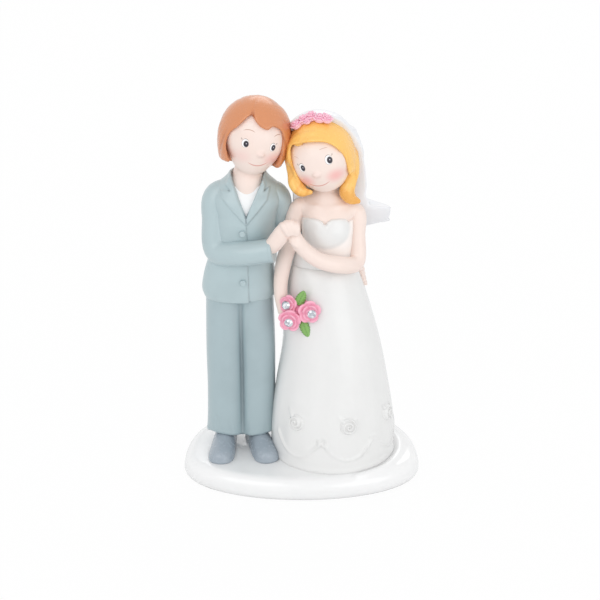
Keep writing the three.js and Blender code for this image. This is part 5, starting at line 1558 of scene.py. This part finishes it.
class MakeArms(bpy.types.Operator):
    """Sculpts the two arms of the bride"""
    bl_idname = "figurine.arms"
    bl_label = "Bride arms"

    def execute(self, context):
        arm = [(12.6, -0.3, 89.6), (16.2, -0.2, 88.2), (17.29, -1.59, 80.38),
               (16.74, -4.6, 72.47), (11.86, -9.3, 73.58), (4.6, -11.51, 76.34),
               (0.6, -12.2, 79.9), (-1.6, -12.9, 83.2), (-2.1, -13.0, 85.2)]
        fingers = [([(-0.6 + 0.3 * i, -13.9 - 0.1 * i, 82.0 - 0.9 * i),
                     (-2.4 + 0.2 * i, -14.3 - 0.1 * i, 83.4 - 1.0 * i),
                     (-3.4 + 0.3 * i, -13.5 - 0.1 * i, 83.9 - 1.1 * i)], [0.8, 0.8, 0.65])
                   for i in range(2)]
        form = hand_form(arm, [1.6, 2.6, 2.35, 2.58, 2.67, 2.44, 2.25, 2.15, 1.7], fingers)
        sculpted("Arm_left", form, skin_paint(), ["bride_arm_left"], 0.85, grow=2.2)
        arm = [(3.4, -0.3, 91.0), (-0.3, -0.2, 89.3), (-3.1, -2.21, 79.83), (-5.6, -4.81, 72.2),
               (-6.4, -7.59, 63.0), (-5.3, -9.2, 58.4)]
        fingers = [([(-5.6 + 0.5 * i, -9.8, 60.0 - 1.1 * i),
                     (-4.2 + 0.5 * i, -10.6, 58.8 - 1.1 * i),
                     (-2.9 + 0.4 * i, -10.2, 58.2 - 1.0 * i)], [0.9, 0.85, 0.7])
                   for i in range(3)]
        form = hand_form(arm, [1.8, 2.7, 2.5, 2.45, 2.1, 2.1], fingers)
        sculpted("Arm_right", form, skin_paint(), ["bride_arm_right"], 0.85, grow=3.4)
        return {"FINISHED"}


class MakeBrideHead(bpy.types.Operator):
    """Sculpts and paints the head of the bride"""
    bl_idname = "figurine.bride_head"
    bl_label = "Bride head"

    def execute(self, context):
        face = Face("Bride Face", BRIDE_HEAD)
        blush = colours().blush
        for x, z in ((-5.0, -4.4), (4.3, -4.9)):
            face.spot(blush, 0.6, x, z, 2.1, 1.7, edge=0.95)
        face.spot(blush, 0.08, -0.8, -2.9, 1.4, 1.0, edge=0.9)
        face.eye(-4.35, 0.13, -1, 0.9)
        face.eye(4.15, 0.5, 1, 1.0)
        face.stroke(colours().brow, 0.5, 3.2, 4.3, 1.3, -0.18, -0.05, 0.11)
        face.stroke(colours().brow, 0.4, -5.6, 3.5, 0.9, -0.16, -0.4, 0.11)
        face.stroke(colours().lips, 0.8, -1.5, -6.75, 3.5, 1.25, -0.12, 0.2)
        head = head_form(BRIDE_R, (-0.81, -2.58), [(-4.9, -5.75), (-3.7, -6.5), (-1.8, -6.8),
                                                   (0.3, -6.2), (1.95, -5.05)])
        sculpted("Head_bride", within(BRIDE_HEAD, head), face.finished(), ["bride_head"],
                 0.8)
        return {"FINISHED"}


class MakeBlonde(bpy.types.Operator):
    """Sculpts the blonde hair with its fringe and locks"""
    bl_idname = "figurine.blonde"
    bl_label = "Blonde hair"

    def execute(self, context):
        material = hair_paint("Blonde Hair", colours().blonde, colours().blonde_painted_shade)
        strands = within(BRIDE_HEAD, BLONDE_STRANDS)
        # The strand value gives painted shade between the strands and, below 99 mm, makes the locks
        # darker towards their ends.
        sculpted("Hair_blonde", blonde_form, material, ["bride_hair"], 0.85,
                 {"strand": lambda p: strands(p) + 0.8 * rise(99.0 - p[:, 2], 0.0, 5.0)})
        return {"FINISHED"}


class MakeVeil(bpy.types.Operator):
    """Sculpts the veil"""
    bl_idname = "figurine.veil"
    bl_label = "Veil"

    def execute(self, context):
        material = paint("Veil Paint", colours().veil, colours().gown_painted_shade, gloss=0.3,
                         coat=0.2, cloud=0.15, share=0.35)
        sculpted("Veil", veil_form, material, ["veil"], 1.1, grow=1.8)
        return {"FINISHED"}


class MakeHeaddress(bpy.types.Operator):
    """Sets the band of pink blossoms on the crown"""
    bl_idname = "figurine.headdress"
    bl_label = "Headdress"

    def execute(self, context):
        material = paint("Headdress Paint", colours().crown, colours().rose_painted_shade, gloss=0.36,
                         share=0.26)
        turn = np.array(BRIDE_HEAD.to_3x3())
        middle = np.array(BRIDE_HEAD.translation)
        places, outwards, shares = [], [], []
        for x, y, z, share in ((-3.4, -2.9, 11.7, 0.95), (-1.2, -1.9, 12.4, 1.0),
                               (1.3, -1.3, 12.5, 1.1), (3.7, -2.6, 11.6, 1.0),
                               (5.7, -2.6, 10.8, 0.9), (-4.4, -1.6, 11.2, 0.7),
                               (0.1, -3.5, 12.0, 0.62), (5.0, -0.9, 11.7, 0.7)):
            line = turn @ np.array((x, y, z))
            places.append(middle + line / np.linalg.norm(line) * 12.5)
            outwards.append(line)
            shares.append(share)
        rose_row("Headdress", places, outwards, shares, sizes().crown_rose / MM, material,
                 ["flower_band"], 7, 0.2, rose_form)
        return {"FINISHED"}


class MakeBouquet(bpy.types.Operator):
    """Sculpts the bouquet: its core, the three roses and the leaves"""
    bl_idname = "figurine.bouquet"
    bl_label = "Bouquet"

    def execute(self, context):
        core = ball(BOUQUET + (0.59, 0.4, 0), (4.9, 2.5, 4.3))
        dark = paint("Rose Shade", tone(240, 150, 182), colours().rose_painted_shade, gloss=0.4)
        sculpted("Bouquet_core", lambda p: core(p) + 0.3 * np.sin(p[:, 0] * 2.3) * np.sin(
            p[:, 2] * 2.1 + 1), dark, ["bouquet_core"], 0.9)
        for name, shift, share in (("lower", (-1.8, -2.0, -1.9), 1.2),
                                   ("outer", (3.95, -2.4, 1.0), 1.2),
                                   ("upper", (-2.1, -0.5, 2.6), 0.97)):
            rose = rose_skin(f"Rose_{name}", 0.2, rose_paint(), full_rose_form)
            moved(rose, facing(BOUQUET + shift, ROSE_FACES[name]), share * 0.86)
            settle_piece(rose, [f"bouquet_rose_{name}"])
        green = paint("Leaf Paint", colours().leaf, colours().leaf_painted_shade, gloss=0.3, share=1.0)
        for name in ("upper", "lower"):
            low, high = room(f"bouquet_leaf_{name}", grow=0)
            middle = (low + high) / 2 + ((0.3, 0, 0.5) if name == "upper" else (0.7, 0, 0))
            angle = 22 if name == "upper" else 160
            leaf = skinned(f"Leaf_{name}", leaf_form, (-3.4, -2.4, -1.0), (3.4, 2.4, 1.0), 0.16,
                           green)
            along = Vector((math.sin(math.radians(angle)), -0.15, math.cos(math.radians(angle))))
            up = Vector((-0.1, -1, 0.1))
            across = up.cross(along).normalized()
            frame_of_leaf = Matrix((along.normalized(), across, along.cross(across).normalized()))
            place = Matrix.Translation(Vector(middle)) @ frame_of_leaf.transposed().to_4x4()
            moved(leaf, place, 0.92)
            settle_piece(leaf, [f"bouquet_leaf_{name}"])
        return {"FINISHED"}


class MakeStones(bpy.types.Operator):
    """Sets a cut stone in each rose"""
    bl_idname = "figurine.stones"
    bl_label = "Stones"

    def execute(self, context):
        for name, face in ROSE_FACES.items():
            node = f"rhinestone_{name}"
            low, high = room(node, grow=0)
            mesh = stone_mesh(f"Stone_{name}", sizes().stone / MM, sizes().stone_sides)
            stone = added(f"Stone_{name}", mesh, stone_paint())
            moved(stone, facing((low + high) / 2, face))
            settle_piece(stone, [node])
        return {"FINISHED"}


CAMERA_PLACE = (-0.0005, -0.3958, 0.226)
CAMERA_TILT = math.radians(23)
CAMERA_LENS = 81.7     # millimetres, on a sensor 36 mm wide
LAMP_TARGET = Vector((-0.0005, 0, 0.058))
# Each lamp: its name, its place in metres, its width and its power in watts.
LAMPS = (("Key", (-0.45, -0.8, 0.7), 0.8, 1.8), ("Fill", (0.6, -0.8, 0.35), 0.8, 1.5),
         ("Back", (0.1, 0.8, 0.7), 0.6, 1.2))


class MakeStage(bpy.types.Operator):
    """Sets the floor, the lamps and the camera"""
    bl_idname = "figurine.stage"
    bl_label = "Stage"

    def execute(self, context):
        mesh = bpy.data.meshes.new("Floor")
        reach = 1.6     # metres from the middle to an edge
        mesh.from_pydata([(-reach, -reach, 0), (reach, -reach, 0), (reach, reach, 0),
                          (-reach, reach, 0)], [], [(0, 1, 2, 3)])
        material = bpy.data.materials.new("Floor")
        material.use_nodes = True
        tree = material.node_tree
        shader = tree.nodes["Principled BSDF"]
        shader.inputs["Base Color"].default_value = (0.9, 0.9, 0.9, 1)
        shader.inputs["Roughness"].default_value = 0.9
        glow = add(tree, "ShaderNodeEmission", None, Strength=1.0)
        seen = maths(tree, "MULTIPLY", add(tree, "ShaderNodeLightPath").outputs["Is Camera Ray"],
                     0.96)
        join = add(tree, "ShaderNodeMixShader", None, _0=seen, _1=shader.outputs[0],
                   _2=glow.outputs[0])
        tree.links.new(join.outputs[0], tree.nodes["Material Output"].inputs["Surface"])
        floor = added("Floor", mesh, material)

        world = bpy.data.worlds.new("Studio")
        context.scene.world = world
        world.use_nodes = True
        tree = world.node_tree
        back = tree.nodes["Background"]
        back.inputs["Color"].default_value = (0.98, 0.985, 0.99, 1)
        back.inputs["Strength"].default_value = 0.86
        white = add(tree, "ShaderNodeBackground", None, Strength=1.0)
        white.inputs["Color"].default_value = (1, 1, 1, 1)
        path = add(tree, "ShaderNodeLightPath").outputs
        seen = maths(tree, "MAXIMUM", path["Is Camera Ray"],
                     maths(tree, "MAXIMUM", path["Is Glossy Ray"], path["Is Transmission Ray"]))
        join = add(tree, "ShaderNodeMixShader", None, _0=seen, _1=back.outputs[0],
                   _2=white.outputs[0])
        tree.links.new(join.outputs[0], tree.nodes["World Output"].inputs["Surface"])

        for name, place, size, power in LAMPS:
            lamp = bpy.data.lights.new(name, "AREA")
            lamp.shape = "DISK"
            lamp.size = size
            lamp.energy = power
            item = bpy.data.objects.new(name, lamp)
            item.location = place
            aim = LAMP_TARGET - Vector(place)
            item.rotation_euler = aim.to_track_quat("-Z", "Y").to_euler()
            context.scene.collection.objects.link(item)

        lens = bpy.data.cameras.new("Camera")
        lens.lens = CAMERA_LENS
        lens.sensor_width = 36
        camera = bpy.data.objects.new("Camera", lens)
        camera.location = CAMERA_PLACE
        look = Vector((0, math.cos(CAMERA_TILT), -math.sin(CAMERA_TILT)))
        camera.rotation_euler = look.to_track_quat("-Z", "Y").to_euler()
        context.scene.collection.objects.link(camera)
        context.scene.camera = camera
        context.scene.view_settings.view_transform = "Standard"
        return {"FINISHED"}


OPERATORS = (MakeBase, MakeShoes, MakeTrousers, MakeJacket, MakeButtons, MakeShirt, MakeSleeves,
             MakeSuitHands, MakeSuitHead, MakeBob, MakeSkirt, MakeSkirtRoses, MakeBodice,
             MakeChest, MakeArms, MakeBrideHead, MakeBlonde, MakeVeil, MakeHeaddress, MakeBouquet,
             MakeStones, MakeStage)


class FigurinePanel(bpy.types.Panel):
    """The figurine's sizes, paints and pieces"""
    bl_idname = "VIEW3D_PT_figurine"
    bl_label = "Wedding Couple"
    bl_space_type = "VIEW_3D"
    bl_region_type = "UI"
    bl_category = "Figurine"

    def draw(self, context):
        for group in (context.scene.figurine_sizes, context.scene.figurine_colours):
            box = self.layout.box()
            for key in group.bl_rna.properties.keys():
                if key not in ("rna_type", "name"):
                    box.prop(group, key)
        for operator in OPERATORS:
            self.layout.operator(operator.bl_idname)


CLASSES = (FigurineSizes, FigurineColours, *OPERATORS, FigurinePanel)


def register():
    """Makes the add-on's classes and settings known to Blender."""
    for item in CLASSES:
        bpy.utils.register_class(item)
    bpy.types.Scene.figurine_sizes = PointerProperty(type=FigurineSizes)
    bpy.types.Scene.figurine_colours = PointerProperty(type=FigurineColours)


def unregister():
    """Takes the add-on's classes and settings away again."""
    del bpy.types.Scene.figurine_colours
    del bpy.types.Scene.figurine_sizes
    for item in reversed(CLASSES):
        bpy.utils.unregister_class(item)


def main():
    """Makes every piece."""
    register()
    for operator in OPERATORS:
        group, name = operator.bl_idname.split(".")
        getattr(getattr(bpy.ops, group), name)()


if __name__ == "__main__":
    main()
